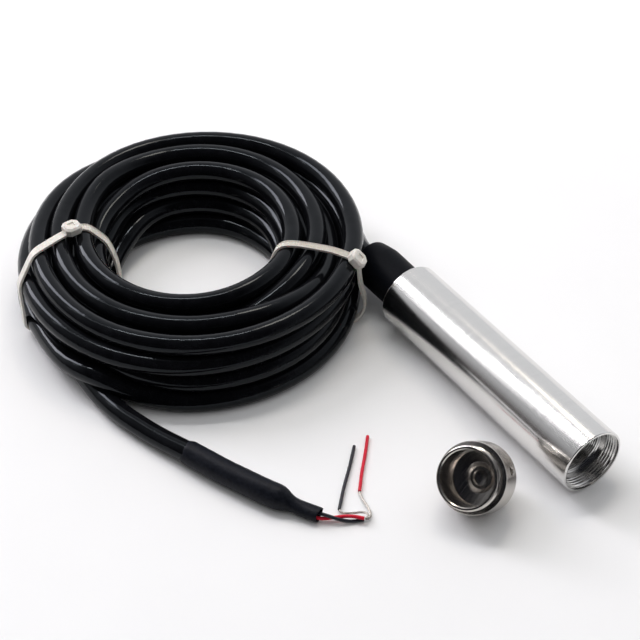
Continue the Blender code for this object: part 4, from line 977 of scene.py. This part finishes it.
def soft_light(name, place, target, size, power, colour=(1.0, 1.0, 1.0), along=None):
    """A soft box that faces the target, its long side along a given direction or level."""
    light = bpy.data.lights.new(name, "AREA")
    light.shape = "RECTANGLE"
    light.size, light.size_y = size
    light.energy = power
    light.color = colour
    obj = bpy.data.objects.new(name, light)
    bpy.context.scene.collection.objects.link(obj)
    obj.location = place
    obj.rotation_mode = "QUATERNION"
    away = (Vector(place) - Vector(target)).normalized()
    if along is None:
        obj.rotation_quaternion = (-away).to_track_quat("-Z", "Y")
    else:
        across = away.cross(Vector(along)).normalized()
        pose = Matrix((across.cross(away), across, away)).transposed()
        obj.rotation_quaternion = pose.to_quaternion()
    return obj


FLOOR_REACH = 3.0
COIL_SPOT = (-0.10, -0.04, 0.0)      # what the lamps face
STRIPS_ALONG = (0.48, 0.87, 0.0)
ROOM_SIDE = (0.62, -0.42, 0.66)      # where the photographer stands, and it is dim
LOW_SIDE = (0.0, -0.83, -0.55)       # the dim lower part of one wall


def build_floor():
    floor = bpy.data.meshes.new("floor")
    reach = FLOOR_REACH
    floor.from_pydata([(-reach, -reach, 0), (reach, -reach, 0), (reach, reach, 0),
                       (-reach, reach, 0)], [], [(0, 1, 2, 3)])
    obj = bpy.data.objects.new("floor", floor)
    bpy.context.scene.collection.objects.link(obj)
    floor.materials.append(material("floor_paper", (0.86, 0.86, 0.86), (0.88, 0.88, 0.88),
                                    (0.85, 0.95), scale=12.0))


def facing(tree, direction, side):
    """How far a direction of the room faces one side of it."""
    node = tree.nodes.new("ShaderNodeVectorMath")
    node.operation = "DOT_PRODUCT"
    node.inputs[1].default_value = Vector(side).normalized()
    link(tree, direction, node.inputs[0])
    return node.outputs["Value"]


def build_world():
    """A light room that is dim where the photographer stands."""
    world = bpy.data.worlds.new("studio")
    bpy.context.scene.world = world
    world.use_nodes = True
    tree = world.node_tree
    background = tree.nodes["Background"]
    direction = tree.nodes.new("ShaderNodeTexCoord").outputs["Generated"]
    room = ramp(tree, facing(tree, direction, ROOM_SIDE), (0.80, 0.81, 0.84),
                (0.015, 0.016, 0.02), 0.0, 0.72)
    wall = ramp(tree, facing(tree, direction, LOW_SIDE), (1.0, 1.0, 1.0),
                (0.16, 0.145, 0.14), 0.28, 0.64)
    shaded = tree.nodes.new("ShaderNodeVectorMath")
    shaded.operation = "MULTIPLY"
    link(tree, room, shaded.inputs[0])
    link(tree, wall, shaded.inputs[1])
    link(tree, shaded.outputs["Vector"], background.inputs["Color"])
    background.inputs["Strength"].default_value = 1.0


def build_lights():
    """Thin strips that draw the fine lines on the cable, a small warm lamp at their end,
    a wide window at the left and a fill from above that shows in no gloss."""
    soft_light("strip_near", (-0.514, 0.015, 1.2), (-0.514, 0.015, 0.0), (0.63, 0.04), 3.4,
               along=STRIPS_ALONG)
    soft_light("strip_far", (-0.896, -0.677, 1.2), (-0.896, -0.677, 0.0), (1.1, 0.05), 0.8,
               along=STRIPS_ALONG)
    soft_light("warm_lamp", (-0.484, 0.481, 1.2), COIL_SPOT, (0.22, 0.30), 2.2,
               (1.0, 0.90, 0.78), along=STRIPS_ALONG)
    soft_light("left_window", (-1.22, -0.45, 0.93), COIL_SPOT, (0.42, 0.9), 10.5,
               (0.97, 0.94, 1.0))
    fill = soft_light("overhead_fill", (-0.05, 0.0, 1.5), COIL_SPOT, (3.0, 3.0), 16.0)
    fill.visible_glossy = False


# fitted to the photograph's ellipses
CAMERA_PLACE = (0.38035, -0.30731, 0.4738)
CAMERA_AIM = (-0.06065, -0.00891, 0.0)


def build_camera():
    data = bpy.data.cameras.new("camera")
    data.lens = 101.25
    data.sensor_width = 36.0
    camera = bpy.data.objects.new("camera", data)
    bpy.context.scene.collection.objects.link(camera)
    camera.location = CAMERA_PLACE
    camera.rotation_mode = "QUATERNION"
    sight = Vector(CAMERA_AIM) - camera.location
    camera.rotation_quaternion = sight.to_track_quat("-Z", "Y")
    bpy.context.scene.camera = camera


def refinish():
    """Gives the CAD nodes that stay their detailed materials."""
    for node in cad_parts.values():
        for place in node.material_slots:
            plain_name = place.material.name.split(".")[0] if place.material else ""
            if plain_name in FINISHES:
                place.material = FINISHES[plain_name]


build_camera()
refinish()
headings, spots = coil_route()
cable = build_cable(headings, spots)
build_tube()
build_ring()
build_diaphragm()
build_boot()
build_cap()
sleeve = build_sleeve()
leads = [*build_twisted_leads(), *build_strands(), *build_tips()]
for tie in TIE_PATHS:
    build_tie(*tie, headings, spots)
build_floor()
build_world()
build_lights()

bpy.context.scene.view_settings.view_transform = "Standard"
